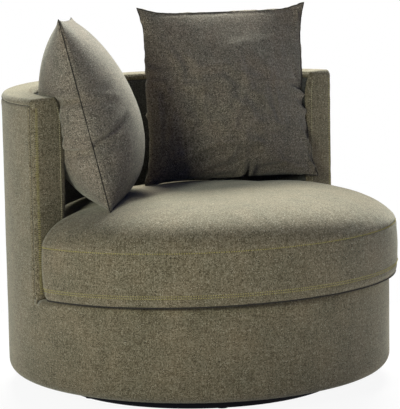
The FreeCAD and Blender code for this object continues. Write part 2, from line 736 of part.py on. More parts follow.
arm_pad_band = band(LINING_OUTER, COVER_INNER, BOARD_TOP, WALL_TOP)
arm_cover_band = band(WALL_INNER, "dims.outer_radius", BOARD_TOP, WALL_TOP)
arm_cap_outline = (
    (WALL_INNER, RIM_SEAM),
    ("dims.outer_radius", RIM_SEAM, "dims.rim_round"),
    (RIM_OUT, "0"),
    (RIM_IN, "0", "dims.rim_round"),
)
for side_name, sign in (("left", "1"), ("right", "-1")):
    pad_turn = turned(f"{sign} * ({ARM_PAD_START} + dims.arm_pad_angle / 2)")
    cover_turn = turned(f"{sign} * ({ARM_COVER_START} + dims.arm_cover_angle / 2)")
    arm_trims = (over_rim(RIM_SEAM), under_deck(FRONT_RAIL_TOP))
    sliced(f"arm_foam_{side_name}", arm_pad_band, "dims.arm_pad_angle", pad_turn, *arm_trims)
    face_name = f"arm_face_{side_name}"
    face = turned_profile(face_name, arm_cover_band, "dims.arm_cover_angle", cover_turn)
    face = cut(f"{face_name}_cut", face, *arm_trims)
    cap_place = RIM_FRAME + " * " + cover_turn
    cap = turned_profile(f"arm_cap_{side_name}", arm_cap_outline, "dims.arm_cover_angle", cap_place)
    keep(joined(f"arm_cover_{side_name}_body", face, cap), f"arm_cover_{side_name}")

# Deck: webbing across the seat ring, a pad, its lining, and the rounded front edge

deck_band = band("0", DECK_RADIUS, BOARD_TOP, WALL_TOP)


def deck_layer(label, low, high):
    blank = cylinder(f"{label}_blank", DECK_RADIUS, "dims.rim_height", UPRIGHT)
    return keep(cut(label, blank, over_deck(high), under_deck(low)), label)


deck_layer("deck_pad", FRONT_RAIL_TOP, DECK_PAD_TOP)
deck_layer("deck_lining", DECK_PAD_TOP, "0")
STRAP_REACH = f"({LINER_OUTER} - dims.webbing_setback)"


def strap(name, index, level, along_turn):
    """One band of webbing, as long as the seat ring lets it be at its distance from the middle."""
    step = index - (STRAP_COUNT - 1) / 2
    offset = f"(dims.webbing_pitch * {step})"
    far_edge = f"(abs({offset}) + dims.webbing_width / 2)"
    half = f"sqrt({STRAP_REACH}^2 - {far_edge}^2)"
    corner = shifted(f"-{half}", f"{offset} - dims.webbing_width / 2", level)
    where = SEAT_FRAME + " * " + along_turn + " * " + corner
    return block(name, f"2 * {half}", "dims.webbing_width", "dims.webbing_thickness", where)


across = [strap(f"strap_across_{index}", index, WEBBING_MIDDLE, UPRIGHT) for index in range(STRAP_COUNT)]
along = [strap(f"strap_along_{index}", index, SEAT_RING_TOP, CROSSWISE) for index in range(STRAP_COUNT)]
keep(grouped("webbing_across_set", across), "webbing_across")
keep(grouped("webbing_along_set", along), "webbing_along")

EDGE_OUT = "(dims.outer_radius - dims.edge_round)"
EDGE_PAD_ROUND = "(dims.edge_round - dims.cover_thickness)"
edge_foam_outline = (
    (EDGE_INNER, FRONT_RAIL_TOP),
    (COVER_INNER, FRONT_RAIL_TOP, EDGE_PAD_ROUND),
    (EDGE_OUT, DECK_PAD_TOP),
    (EDGE_INNER, DECK_PAD_TOP),
)
edge_cover_outline = (
    (COVER_INNER, FRONT_RAIL_TOP),
    ("dims.outer_radius", FRONT_RAIL_TOP, "dims.edge_round"),
    (EDGE_OUT, "0"),
    (EDGE_INNER, "0"),
    (EDGE_INNER, DECK_PAD_TOP),
    (EDGE_OUT, DECK_PAD_TOP, f"-{EDGE_PAD_ROUND}"),
)
EDGE_PLACE = SEAT_FRAME + " * " + FACING_FRONT
keep(turned_profile("edge_foam_body", edge_foam_outline, FRONT_EDGE_SWEEP, EDGE_PLACE), "front_edge_foam")
keep(turned_profile("edge_cover_body", edge_cover_outline, FRONT_EDGE_SWEEP, EDGE_PLACE), "front_edge_cover")

dust_outline = band(
    "dims.dust_cover_opening", SKIRT_RING_INNER, f"({TUB_BASE} - dims.dust_cover_thickness)", TUB_BASE
)
keep(turned_profile("dust_cover_body", dust_outline, FULL_TURN, UPRIGHT), "dust_cover")

# Seat cushion: lofted from its plan, with a crown above the top seam

CROWN_HEIGHT_SHARES = (0, 0.2, 0.45, 0.7, 0.87, 0.96)


def cushion_plan(level, inset, scale):
    """The cushion's outline at a level, drawn in by an inset and then scaled about its middle."""
    forward = size("dims.cushion_forward")
    front = size(CUSHION_FRONT) - inset
    back = size(CUSHION_BACK) - inset
    ear = size(CUSHION_EAR_LINE) - inset
    bend = size("dims.cushion_ear_round")
    bend_across = math.sqrt((front - bend) ** 2 - (ear - bend + forward) ** 2)
    bend_centre = V(bend_across, ear - bend, 0)
    front_centre = V(0, -forward, 0)
    outward = (bend_centre - front_centre).normalize()
    meet = front_centre + outward * front
    half_way = (outward + V(0, 1, 0)).normalize()
    sweep_middle = (outward + V(0, -1, 0)).normalize()
    notch = V(math.sqrt(back * back - ear * ear), ear, 0)
    back_middle = (notch * (1 / back) + V(0, 1, 0)).normalize()

    def place(point, mirror):
        moved = V(-point.x if mirror else point.x, point.y, 0) - front_centre
        moved = moved * scale + front_centre
        return V(moved.x, moved.y, level)

    def side(mirror):
        ear_end = V(bend_across, ear, 0)
        tip = front_centre + V(0, -front, 0)
        rear = V(0, back, 0)
        return [
            Part.Arc(
                place(rear, mirror), place(back_middle * back, mirror), place(notch, mirror)
            ).toShape(),
            Part.LineSegment(place(notch, mirror), place(ear_end, mirror)).toShape(),
            Part.Arc(
                place(ear_end, mirror), place(bend_centre + half_way * bend, mirror), place(meet, mirror)
            ).toShape(),
            Part.Arc(
                place(meet, mirror), place(front_centre + sweep_middle * front, mirror), place(tip, mirror)
            ).toShape(),
        ]

    return Part.Wire(Part.__sortEdges__(side(False) + side(True)))


def cushion_solid(inset):
    """The whole cushion in the deck's own frame, every face drawn in by the inset."""
    foot = size("dims.cushion_rest") + inset
    low = size("dims.cushion_low_seam")
    seam = size("dims.cushion_top_seam")
    crown = size("dims.cushion_crown") - inset
    draw = size("dims.cushion_seam_draw") + inset
    sole = cushion_plan(foot, size("dims.cushion_foot_inset") + inset, 1)
    low_seam = cushion_plan(low, draw, 1)
    waist = cushion_plan((low + seam) / 2, inset, 1)
    underside = Part.makeLoft([sole, low_seam], True, True)
    sides = Part.makeLoft([low_seam, waist, cushion_plan(seam, draw, 1)], True, False)
    levels = []
    for share in CROWN_HEIGHT_SHARES:
        narrowing = (1 - share ** size("dims.crown_shoulder")) ** (1 / size("dims.crown_fullness"))
        levels.append(cushion_plan(seam + crown * share, draw, narrowing))
    top = Part.makeLoft(levels, True, False)
    return underside.fuse([sides, top])


def shaped(name, shape, where):
    """A piece whose shape is lofted here from the sheet's sizes."""
    piece = doc.addObject("Part::Feature", name)
    piece.Shape = shape
    return put(piece, where)


cushion_outside = shaped("cushion_outside", cushion_solid(0), SEAT_FRAME)
cushion_inside = shaped("cushion_inside", cushion_solid(size("dims.cushion_fabric")), SEAT_FRAME)
keep(cut("seat_cushion_cover", cushion_outside, cushion_inside), "seat_cushion_cover")


def foam_core_solid():
    """The cushion's slab of foam, which the wadding wraps."""
    inset = size("dims.foam_core_inset")
    low = size("dims.cushion_low_seam") + size("dims.cushion_fabric")
    seam = size("dims.cushion_top_seam")
    return Part.makeLoft([cushion_plan(low, inset, 1), cushion_plan(seam, inset, 1)], True, True)


foam_core = keep(shaped("foam_core", foam_core_solid(), SEAT_FRAME), "seat_cushion_foam")
wadding_blank = shaped("wadding_blank", cushion_solid(size("dims.cushion_fabric")), SEAT_FRAME)
keep(cut("seat_cushion_wadding", wadding_blank, foam_core), "seat_cushion_wadding")

ZIP_INNER = f"({CUSHION_BACK} + dims.zip_play)"
zip_outline = band(
    ZIP_INNER, f"({ZIP_INNER} + dims.zip_thickness)", "dims.zip_rise", "(dims.zip_rise + dims.zip_width)"
)
keep(turned_profile("cushion_zip_body", zip_outline, "dims.zip_sweep", SEAT_FRAME), "seat_cushion_zip")

# Pillows: a cover and its filling, each the part that two crossed lofts share

LENS_STATION_SHARES = (-1, -0.5, 0, 0.5, 1)


def lens(station, half_width, half_thickness, upright):
    """A pointed oval across the pillow, made of two arcs."""
    def place(across, front):
        return V(across, front, station) if upright else V(station, front, across)

    left = place(-half_width, 0)
    right = place(half_width, 0)
    near = Part.Arc(left, place(0, -half_thickness), right).toShape()
    far = Part.Arc(right, place(0, half_thickness), left).toShape()
    return Part.Wire([near, far])


def crossed_loft(inset, upright):
    """A long cushion with knife edges on two sides that are drawn in between the corners."""
    half = size("dims.pillow_side") / 2 - inset
    thickness = size("dims.pillow_half_thickness") - inset
    if not upright:
        thickness = thickness * size("dims.pillow_crossing")
    run = half + size("dims.pillow_overrun")
    sections = []
    for share in LENS_STATION_SHARES:
        across = half - size("dims.pillow_draw") * (1 - share * share)
        depth = thickness * (1 - size("dims.pillow_thinning") * share * share)
        sections.append(lens(run * share, across, depth, upright))
    return Part.makeLoft(sections, True, False)


CUSHION_TOP = "(dims.deck_height + dims.cushion_top_seam + dims.cushion_crown)"


def pillow_place(which):
    from_axis = f"(dims.outer_radius - dims.{which}_setback)"
    across = f"{from_axis} * sin(dims.{which}_round)"
    behind = f"{from_axis} * cos(dims.{which}_round)"
    spot = shifted(across, behind, f"{CUSHION_TOP} + dims.{which}_rise")
    lean = tilted(f"dims.{which}_lean") + " * " + rolled(f"dims.{which}_roll")
    return spot + " * " + turned(f"dims.{which}_yaw") + " * " + lean


def clearance_wall(name, clearance):
    """The wall, grown by a clearance, for the pillows to rest against."""
    outline = band(
        f"({WALL_INNER} - {clearance})", f"(dims.outer_radius + {clearance})", BOARD_TOP, WALL_TOP
    )
    blank = turned_profile(name, outline, "(2 * dims.half_wrap + dims.arm_cover_angle)", UPRIGHT)
    return cut(f"{name}_top", blank, over_rim(clearance))


def clearance_cushion(name, clearance):
    return shaped(name, cushion_solid(-size(clearance)), SEAT_FRAME)


OUTSIDE_REST = "dims.pillow_rest"
FILLING_REST = "(dims.pillow_rest + dims.pillow_fabric)"
outside_rests = (
    clearance_wall("wall_rest_outside", OUTSIDE_REST),
    clearance_cushion("cushion_rest_outside", OUTSIDE_REST),
)
filling_rests = (
    clearance_wall("wall_rest_filling", FILLING_REST),
    clearance_cushion("cushion_rest_filling", FILLING_REST),
)


def pillow(which):
    """A pillow's cover and filling, pressed flat where the wall and the cushion hold it."""
    fabric = size("dims.pillow_fabric")
    outer_shape = crossed_loft(0, True).common(crossed_loft(0, False))
    inner_shape = crossed_loft(fabric, True).common(crossed_loft(fabric, False))
    outside = shaped(f"{which}_outside", outer_shape, pillow_place(which))
    inside = shaped(f"{which}_inside", inner_shape, pillow_place(which))
    outside = cut(f"{which}_rested", outside, *outside_rests)
    filling = cut(f"{which}_filling_rested", inside, *filling_rests)
    keep(filling, f"{which}_filling")
    keep(cut(f"{which}_cover_shell", outside, filling), f"{which}_cover")


pillow("back_pillow")
pillow("arm_pillow")

doc.recompute()

# Every object has to be sound before anything is written.
faults = [item.Name for item in doc.Objects if "Invalid" in item.State or "Error" in item.State]
for node in nodes:
    shape = node.Shape
    if shape.isNull() or not shape.isValid() or not shape.Solids:
        faults.append(node.Label)
if faults:
    raise RuntimeError("faulty objects: " + ", ".join(faults))

os.makedirs("parts", exist_ok=True)
for node in nodes:
    node.Shape.exportStep(os.path.join("parts", node.Label + ".step"))
print(len(nodes), "sub-parts written")
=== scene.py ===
import json
import math

import bmesh
import bpy
import numpy as np
from mathutils import Matrix, Vector, bvhtree, kdtree, noise


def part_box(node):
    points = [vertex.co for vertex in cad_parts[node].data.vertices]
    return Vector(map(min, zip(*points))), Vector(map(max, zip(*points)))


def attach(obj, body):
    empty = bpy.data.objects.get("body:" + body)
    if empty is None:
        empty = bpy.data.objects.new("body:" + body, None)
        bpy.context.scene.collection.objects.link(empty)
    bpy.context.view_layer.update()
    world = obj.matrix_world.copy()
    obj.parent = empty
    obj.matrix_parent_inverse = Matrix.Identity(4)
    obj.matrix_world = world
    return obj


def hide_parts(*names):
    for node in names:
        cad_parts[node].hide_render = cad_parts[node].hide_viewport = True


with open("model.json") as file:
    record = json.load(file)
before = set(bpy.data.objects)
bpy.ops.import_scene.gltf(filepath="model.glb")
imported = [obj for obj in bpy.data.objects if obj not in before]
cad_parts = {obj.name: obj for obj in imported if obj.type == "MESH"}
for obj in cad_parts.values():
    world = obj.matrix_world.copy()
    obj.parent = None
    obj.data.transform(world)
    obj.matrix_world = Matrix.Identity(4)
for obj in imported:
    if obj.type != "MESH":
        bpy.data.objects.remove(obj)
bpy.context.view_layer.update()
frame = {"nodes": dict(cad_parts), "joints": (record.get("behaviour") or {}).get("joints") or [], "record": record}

# Lengths are metres. A place is counted from the swivel's axis unless a name says otherwise.
MM = 0.001
SWIVEL = next(joint for joint in frame["joints"] if joint["name"] == "swivel")
AXIS = Vector((SWIVEL["pos_m"][0], SWIVEL["pos_m"][1], 0))

# The tub, as its frame and foam hold it.
OUTER_RADIUS = (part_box("front_cover")[1].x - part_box("front_cover")[0].x) / 2
WALL_THICKNESS = 74 * MM
INNER_RADIUS = OUTER_RADIUS - WALL_THICKNESS
MIDDLE_RADIUS = OUTER_RADIUS - WALL_THICKNESS / 2
RIM_HEIGHT = 712 * MM
RIM_TILT = math.radians(1.2)
HALF_WRAP = math.radians(87.3)
SKIRT_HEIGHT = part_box("skirt_ring")[0].z - 2 * MM
SKIRT_ROUND = 25 * MM
SKIRT_REACH = 54 * MM
DECK_HEIGHT = 248 * MM
DECK_TILT = math.radians(2.1)
EDGE_ROUND = 14 * MM
CLOTH = 1.6 * MM

# The loose seat cushion, counted in the deck's own frame.
CUSHION_FRONT = OUTER_RADIUS + 3 * MM
CUSHION_FORWARD = 28 * MM
CUSHION_BACK = INNER_RADIUS - 5 * MM
CUSHION_EAR_LINE = INNER_RADIUS * math.cos(HALF_WRAP) - 5.4 * MM
CUSHION_EAR_ROUND = 30 * MM
CUSHION_FOOT = 0.3 * MM
CUSHION_FOOT_INSET = 10 * MM
CUSHION_LOW_SEAM = 24 * MM
CUSHION_TOP_SEAM = 125 * MM
CUSHION_CROWN = 87 * MM
CUSHION_SEAM_DRAW = 3 * MM
CROWN_FULLNESS = 4.3
CROWN_SHOULDER = 1.46
# The crown is fuller on this side, to the front left.
FULL_SIDE = Vector((-0.626, -0.78, 0))
FULLER = 1.7
FULLER_SHOULDER = 0.54

# The two loose pillows: knife-edged squares of 45 cm, whose sides are drawn in between the ears.
PILLOW_HALF = 226 * MM
SEAT_TOP = DECK_HEIGHT + CUSHION_TOP_SEAM + CUSHION_CROWN


def linear(channel):
    """One sRGB channel as linear light."""
    return channel / 12.92 if channel <= 0.04045 else ((channel + 0.055) / 1.055) ** 2.4


def colour(hex_code):
    """A colour written in sRGB hex, as the linear colour that a shader takes."""
    channels = [int(hex_code[start:start + 2], 16) / 255 for start in (1, 3, 5)]
    return (*[linear(channel) for channel in channels], 1)


def add_node(tree, kind, inputs=(), stops=(), **settings):
    """Adds a node and its settings. Inputs are set or linked. A ramp gets (place, hex) stops."""
    node = tree.nodes.new(kind)
    for name, value in settings.items():
        setattr(node, name, value)
    for name, value in dict(inputs).items():
        if isinstance(value, bpy.types.Node):
            value = value.outputs[0]
        if isinstance(value, bpy.types.NodeSocket):
            tree.links.new(value, node.inputs[name])
        else:
            node.inputs[name].default_value = value
    for number, (place, hex_code) in enumerate(stops):
        if number == len(node.color_ramp.elements):
            node.color_ramp.elements.new(1)
        node.color_ramp.elements[number].position = place
        node.color_ramp.elements[number].color = colour(hex_code)
    return node


MATH = "ShaderNodeMath"


def new_material(name, sockets=()):
    """A material with its node tree and its shader, some of whose sockets are set."""
    material = bpy.data.materials.new(name)
    material.use_nodes = True
    shader = material.node_tree.nodes["Principled BSDF"]
    for socket, value in dict(sockets).items():
        shader.inputs[socket].default_value = value
    return material, material.node_tree, shader


def lay_finish(tree, shader, tint, relief):
    """Gives a shader its colour, and its relief from the inputs of a bump."""
    bump = add_node(tree, "ShaderNodeBump", relief)
    tree.links.new(tint.outputs[0], shader.inputs["Base Color"])
    tree.links.new(bump.outputs[0], shader.inputs["Normal"])


# Heathered flat weave: dark, olive and pale fibres are spun into one yarn, so each yarn changes
# along its length. The eye sees a fine brown and sage speckle, matt in front and pale where it is
# seen at a slant. A real yarn is about 1 mm thick, too fine to show, so it is drawn 2.4 mm wide.
YARN_PITCH = 2.4 * MM
YARN_SLUB = 8 * MM
YARN_RUN = 70 * MM
YARN_RUN_SHARE = 0.3
FLECK_SIZE = 2.4 * MM
FLECK_SHARE = 0.25
CLOUD_SIZE = 70 * MM
CLOUD_SHARE = 0.14
BLUSH_SPREAD = 0.9
BLUSH_SHARE = 0.12
CROWN_RELIEF = 0.6
WEAVE_DEPTH = 0.7 * MM
# Cloth counts as lying on a side or a top when it faces that way by more than this share.
TUB_FACE = 0.6
PILLOW_FACE = 0.75


def place_and_facing(tree):
    """The X, Y and Z of a point and of the way it faces, and then that way itself."""
    seen = add_node(tree, "ShaderNodeTexCoord")
    place = add_node(tree, "ShaderNodeSeparateXYZ", {0: seen.outputs["Object"]}).outputs
    facing = add_node(tree, "ShaderNodeSeparateXYZ", {0: seen.outputs["Normal"]}).outputs
    return place, facing, seen.outputs["Normal"]


def more_than(tree, share, limit):
    """1 where a share is larger than a limit either way, and 0 elsewhere."""
    size = add_node(tree, MATH, {0: share}, operation="ABSOLUTE")
    return add_node(tree, MATH, {0: size, 1: limit}, operation="GREATER_THAN")


def tub_threads(tree):
    """Across and along the threads on the tub: round its sides, flat on top, upright on arms."""
    place, facing, normal = place_and_facing(tree)
    behind = add_node(tree, MATH, {0: place[1], 1: AXIS.y}, operation="SUBTRACT")
    angle = add_node(tree, MATH, {0: place[0], 1: behind}, operation="ARCTAN2")
    around = add_node(tree, MATH, {0: angle, 1: OUTER_RADIUS}, operation="MULTIPLY")
    out = add_node(tree, "ShaderNodeCombineXYZ", {0: place[0], 1: behind})
    radius = add_node(tree, "ShaderNodeVectorMath", {0: out}, operation="LENGTH").outputs["Value"]
    outward = add_node(tree, "ShaderNodeVectorMath", {0: out}, operation="NORMALIZE")
    square_on = add_node(
        tree, "ShaderNodeVectorMath", {0: outward, 1: normal}, operation="DOT_PRODUCT"
    )
    on_side = more_than(tree, square_on.outputs["Value"], TUB_FACE)
    on_top = more_than(tree, facing[2], TUB_FACE)
    upright = add_node(tree, "ShaderNodeMix", {0: on_side, 2: radius, 3: around})
    across = add_node(tree, "ShaderNodeMix", {0: on_top, 2: upright, 3: place[0]})
    along = add_node(tree, "ShaderNodeMix", {0: on_top, 2: place[2], 3: place[1]})
    return across, along


def pillow_threads(tree):
    """Across and along the threads of a pillow, square with its faces."""
    place, facing, _ = place_and_facing(tree)
    on_side = more_than(tree, facing[0], PILLOW_FACE)
    on_top = more_than(tree, facing[2], PILLOW_FACE)
    across = add_node(tree, "ShaderNodeMix", {0: on_side, 2: place[0], 3: place[1]})
    along = add_node(tree, "ShaderNodeMix", {0: on_top, 2: place[2], 3: place[1]})
    return across, along


def yarn_tone(tree, across, along, seed):
    """How pale each yarn is along its length, from 0 to 1."""
    place = add_node(tree, MATH, {0: across, 1: YARN_PITCH}, operation="DIVIDE")
    number = add_node(tree, MATH, {0: place}, operation="FLOOR")
    tones = []
    for length, shift in ((YARN_SLUB, 0.0), (YARN_RUN, 7.3)):
        run = add_node(tree, MATH, {0: along, 1: length}, operation="DIVIDE")
        where = add_node(tree, "ShaderNodeCombineXYZ", {0: number, 1: run, 2: seed + shift})
        fibres = {"Vector": where, "Scale": 1.7, "Detail": 3.0, "Roughness": 0.75}
        tones.append(add_node(tree, "ShaderNodeTexNoise", fibres))
    return add_node(tree, "ShaderNodeMix", {0: YARN_RUN_SHARE, 2: tones[0], 3: tones[1]})


def heathered_weave(name, threads, yarns, blush):
    """The upholstery cloth, with its yarns' colours from dark to pale and a tint that drifts."""
    material, tree, shader = new_material(name, {
        "Roughness": 0.95,
        "Specular IOR Level": 0.2,
        "Sheen Weight": 0.35,
        "Sheen Roughness": 0.5,
        "Sheen Tint": colour("#E4E6D6"),
    })
    across, along = threads(tree)
    warp = yarn_tone(tree, across, along, 0.0)
    weft = yarn_tone(tree, along, across, 31.7)
    steps = []
    crowns = []
    for way in (across, along):
        place = add_node(tree, MATH, {0: way, 1: YARN_PITCH}, operation="DIVIDE")
        steps.append(add_node(tree, MATH, {0: place}, operation="FLOOR"))
        turn = add_node(tree, MATH, {0: place, 1: math.pi}, operation="MULTIPLY")
        wave = add_node(tree, MATH, {0: turn}, operation="SINE")
        crowns.append(add_node(tree, MATH, {0: wave}, operation="ABSOLUTE"))
    both = add_node(tree, MATH, {0: steps[0], 1: steps[1]}, operation="ADD")
    over = add_node(tree, MATH, {0: both, 1: 1.0}, operation="PINGPONG")
    tone = add_node(tree, "ShaderNodeMix", {0: over, 2: warp, 3: weft})
    place = add_node(tree, "ShaderNodeTexCoord").outputs["Object"]
    for size, share in ((FLECK_SIZE, FLECK_SHARE), (CLOUD_SIZE, CLOUD_SHARE)):
        spots = {"Vector": place, "Scale": 1 / size, "Detail": 2.0}
        mottle = add_node(tree, "ShaderNodeTexNoise", spots)
        drift = add_node(tree, MATH, {0: mottle, 1: -0.5}, operation="ADD")
        tone = add_node(tree, MATH, {0: drift, 1: share, 2: tone}, operation="MULTIPLY_ADD")
    yarn = add_node(tree, "ShaderNodeValToRGB", {"Fac": tone}, yarns)
    flush = {0: drift, 1: BLUSH_SPREAD, 2: BLUSH_SHARE}
    share = add_node(tree, MATH, flush, operation="MULTIPLY_ADD", use_clamp=True)
    colours = {"Fac": share, "Color1": yarn, "Color2": colour(blush)}
    cloth = add_node(tree, "ShaderNodeMixRGB", colours, blend_type="SOFT_LIGHT")
    crown = add_node(tree, MATH, {0: crowns[0], 1: crowns[1]}, operation="MULTIPLY")
    relief = {0: crown, 1: CROWN_RELIEF, 2: tone}
    height = add_node(tree, MATH, relief, operation="MULTIPLY_ADD")
    lay_finish(tree, shader, cloth, {"Height": height, "Strength": 0.4, "Distance": WEAVE_DEPTH})
    return material


TUB_YARNS = ((0.32, "#28241B"), (0.43, "#564F3B"), (0.53, "#7A735E"), (0.66, "#A39E8A"))
# The inside yarns are the tub's yarns painted darker and bluer: painted shade for the inside of the wall.
INSIDE_PAINTED_SHADE_YARNS = ((0.32, "#171718"), (0.43, "#333431"), (0.53, "#4A4B48"), (0.66, "#696A66"))
PILLOW_YARNS = ((0.32, "#2B2823"), (0.43, "#555045"), (0.53, "#7B7568"), (0.66, "#A9A393"))


def mottled_finish(name, hex_code, roughness, grain, spread=0.12, metallic=0.0, gloss=0.5):
    """A finish of one colour, mottled by a grain of a real size, with a slight relief."""
    material, tree, shader = new_material(name, {
        "Roughness": roughness, "Metallic": metallic, "Specular IOR Level": gloss,
    })
    place = add_node(tree, "ShaderNodeTexCoord").outputs["Object"]
    spots = {"Vector": place, "Scale": 1 / grain, "Detail": 4.0}
    mottle = add_node(tree, "ShaderNodeTexNoise", spots)
    range_of_tone = {0: mottle, 1: spread * 2, 2: 1 - spread}
    level = add_node(tree, MATH, range_of_tone, operation="MULTIPLY_ADD")
    tint = add_node(tree, "ShaderNodeHueSaturation", {"Value": level, "Color": colour(hex_code)})
    lay_finish(tree, shader, tint, {"Height": mottle, "Distance": 0.2 * MM})
    return material


def grained_timber(name, pale, dark, ring, length):
    """Planed wood whose grain runs upright, with growth lines a ring apart."""
    material, tree, shader = new_material(name, {"Roughness": 0.62})
    place = add_node(tree, "ShaderNodeTexCoord").outputs["Object"]
    stretch = {"Vector": place, "Scale": (1 / ring, 1 / ring, 1 / length)}
    drawn = add_node(tree, "ShaderNodeMapping", stretch)
    lines = {"Vector": drawn, "Scale": 1.0, "Detail": 4.0, "Distortion": 0.4}
    grain = add_node(tree, "ShaderNodeTexNoise", lines)
    wood = add_node(tree, "ShaderNodeValToRGB", {"Fac": grain}, ((0.35, dark), (0.65, pale)))
    lay_finish(tree, shader, wood, {"Height": grain, "Distance": 0.15 * MM})
    return material


# Mesh helpers


def new_piece(name, points, faces, material):
    """A smooth piece made of points and faces."""
    mesh = bpy.data.meshes.new(name)
    mesh.from_pydata([tuple(point) for point in points], [], [tuple(face) for face in faces])
    mesh.update()
    piece = bpy.data.objects.new(name, mesh)
    bpy.context.scene.collection.objects.link(piece)
    mesh.materials.append(material)
    mesh.polygons.foreach_set("use_smooth", [True] * len(mesh.polygons))
    return piece


def grid_faces(rows, columns, closed=False, first=0):
    """Quads between the points of a grid that is stored row by row."""
    faces = []
    for row in range(rows - 1):
        for column in range(columns - (0 if closed else 1)):
            after = (column + 1) % columns
            low = first + row * columns
            high = low + columns
            faces.append((low + column, low + after, high + after, high + column))
    return faces


def weld(piece, distance=0.05 * MM):
    """Joins points that lie on one another, and turns all faces outwards."""
    work = bmesh.new()
    work.from_mesh(piece.data)
    bmesh.ops.remove_doubles(work, verts=work.verts, dist=distance)
    bmesh.ops.recalc_face_normals(work, faces=work.faces)
    work.to_mesh(piece.data)
    work.free()
    piece.data.polygons.foreach_set("use_smooth", [True] * len(piece.data.polygons))


def get_points(piece):
    """A piece's points as rows of numbers."""
    points = np.empty(len(piece.data.vertices) * 3)
    piece.data.vertices.foreach_get("co", points)
    return points.reshape(-1, 3)


def set_points(piece, points):
    """Moves a piece's points."""
    piece.data.vertices.foreach_set("co", np.ascontiguousarray(points, dtype=float).ravel())
    piece.data.update()


def get_facings(piece):
    """The way that each of a piece's points faces."""
    facings = np.empty(len(piece.data.vertices) * 3)
    piece.data.vertices.foreach_get("normal", facings)
    return facings.reshape(-1, 3)


def apply_modifiers(piece):
    """Turns what a piece's modifiers make into its own mesh."""
    shown = piece.evaluated_get(bpy.context.evaluated_depsgraph_get())
    mesh = bpy.data.meshes.new_from_object(shown)
    piece.modifiers.clear()
    piece.data = mesh
    mesh.polygons.foreach_set("use_smooth", [True] * len(mesh.polygons))


def line_tree(lines, pitch):
    """A search tree of points at a pitch along some lines."""
    places = [point for line in lines for point in resample(line, pitch)]
    tree = kdtree.KDTree(len(places))
    for number, place in enumerate(places):
        tree.insert(place, number)
    tree.balance()
    return tree


def resample(points, pitch):
    """Points at an even pitch along a line."""
    points = np.array([tuple(point) for point in points])
    runs = np.linalg.norm(np.diff(points, axis=0), axis=1)
    place = np.concatenate(([0], np.cumsum(runs)))
    count = max(2, int(place[-1] / pitch))
    wanted = np.linspace(0, place[-1], count)
    return [Vector([np.interp(w, place, points[:, way]) for way in range(3)]) for w in wanted]


TUBE_SIDES = 6
FINE_WELD = 0.001 * MM
# A stitch's thickness along it, as shares of its length and of its full thickness.
STITCH_SWELL = ((0, 0.35), (0.2, 0.9), (0.5, 1), (0.8, 0.9), (1, 0.35))
STITCH_RISE = 0.8
STITCH_SINK = 0.35
# A cord counts as upright where its way has more height in it than this.
STEEP = 0.8


def tube_ring(middle, side, up, radius):
    """Points round a place, in the plane of two square directions."""
    turns = [turn * math.tau / TUBE_SIDES for turn in range(TUBE_SIDES)]
    return [middle + (side * math.cos(turn) + up * math.sin(turn)) * radius for turn in turns]


def tube_faces(first, rings):
    """The faces of a closed tube whose rings are numbered from a first point."""
    last = first + TUBE_SIDES * (rings - 1)
    ends = [tuple(range(start, start + TUBE_SIDES)) for start in (first, last)]
    return grid_faces(rings, TUBE_SIDES, closed=True, first=first) + ends


def thread_row(name, stitches, thickness, material):
    """A row of stitches. Each is its two ends and the way that the cloth faces there."""
    points, faces = [], []
    for start, end, facing in stitches:
        run = end - start
        side = run.cross(facing).normalized()
        faces += tube_faces(len(points), len(STITCH_SWELL))
        for share, swell in STITCH_SWELL:
            rise = thickness * (STITCH_RISE * math.sin(math.pi * share) - STITCH_SINK)
            middle = start + run * share + facing * rise
            points += tube_ring(middle, side, facing, thickness / 2 * swell)
    piece = new_piece(name, points, faces, material)
    weld(piece, FINE_WELD)
    return piece


def seam_shade_cord(name, lines, thickness, material):
    """The dark line of a seam, as a fine cord along each line: painted shade of the seam's groove."""
    points, faces = [], []
    for line in lines:
        faces += tube_faces(len(points), len(line))
        for number, place in enumerate(line):
            before = line[max(0, number - 1)]
            after = line[min(len(line) - 1, number + 1)]
            ahead = (after - before).normalized()
            over = Vector((0, 0, 1)) if abs(ahead.z) < STEEP else Vector((1, 0, 0))
            side = ahead.cross(over).normalized()
            points += tube_ring(place, side, side.cross(ahead), thickness / 2)
    piece = new_piece(name, points, faces, material)
    weld(piece, FINE_WELD)
    return piece


def evened(piece, values, rounds):
    """Values on a piece's points, evened out over its edges."""
    ends = np.empty(len(piece.data.edges) * 2, dtype=np.int64)
    piece.data.edges.foreach_get("vertices", ends)
    first, second = ends[::2], ends[1::2]
    size = len(values)
    count = np.maximum(np.bincount(ends, minlength=size), 1)
    for _ in range(rounds):
        near = []
        for way in values.T:
            after = np.bincount(first, way[second], size)
            near.append(after + np.bincount(second, way[first], size))
        values = (values + np.array(near).T / count[:, None]) / 2
    return values


SETTLING_FRAMES = 20


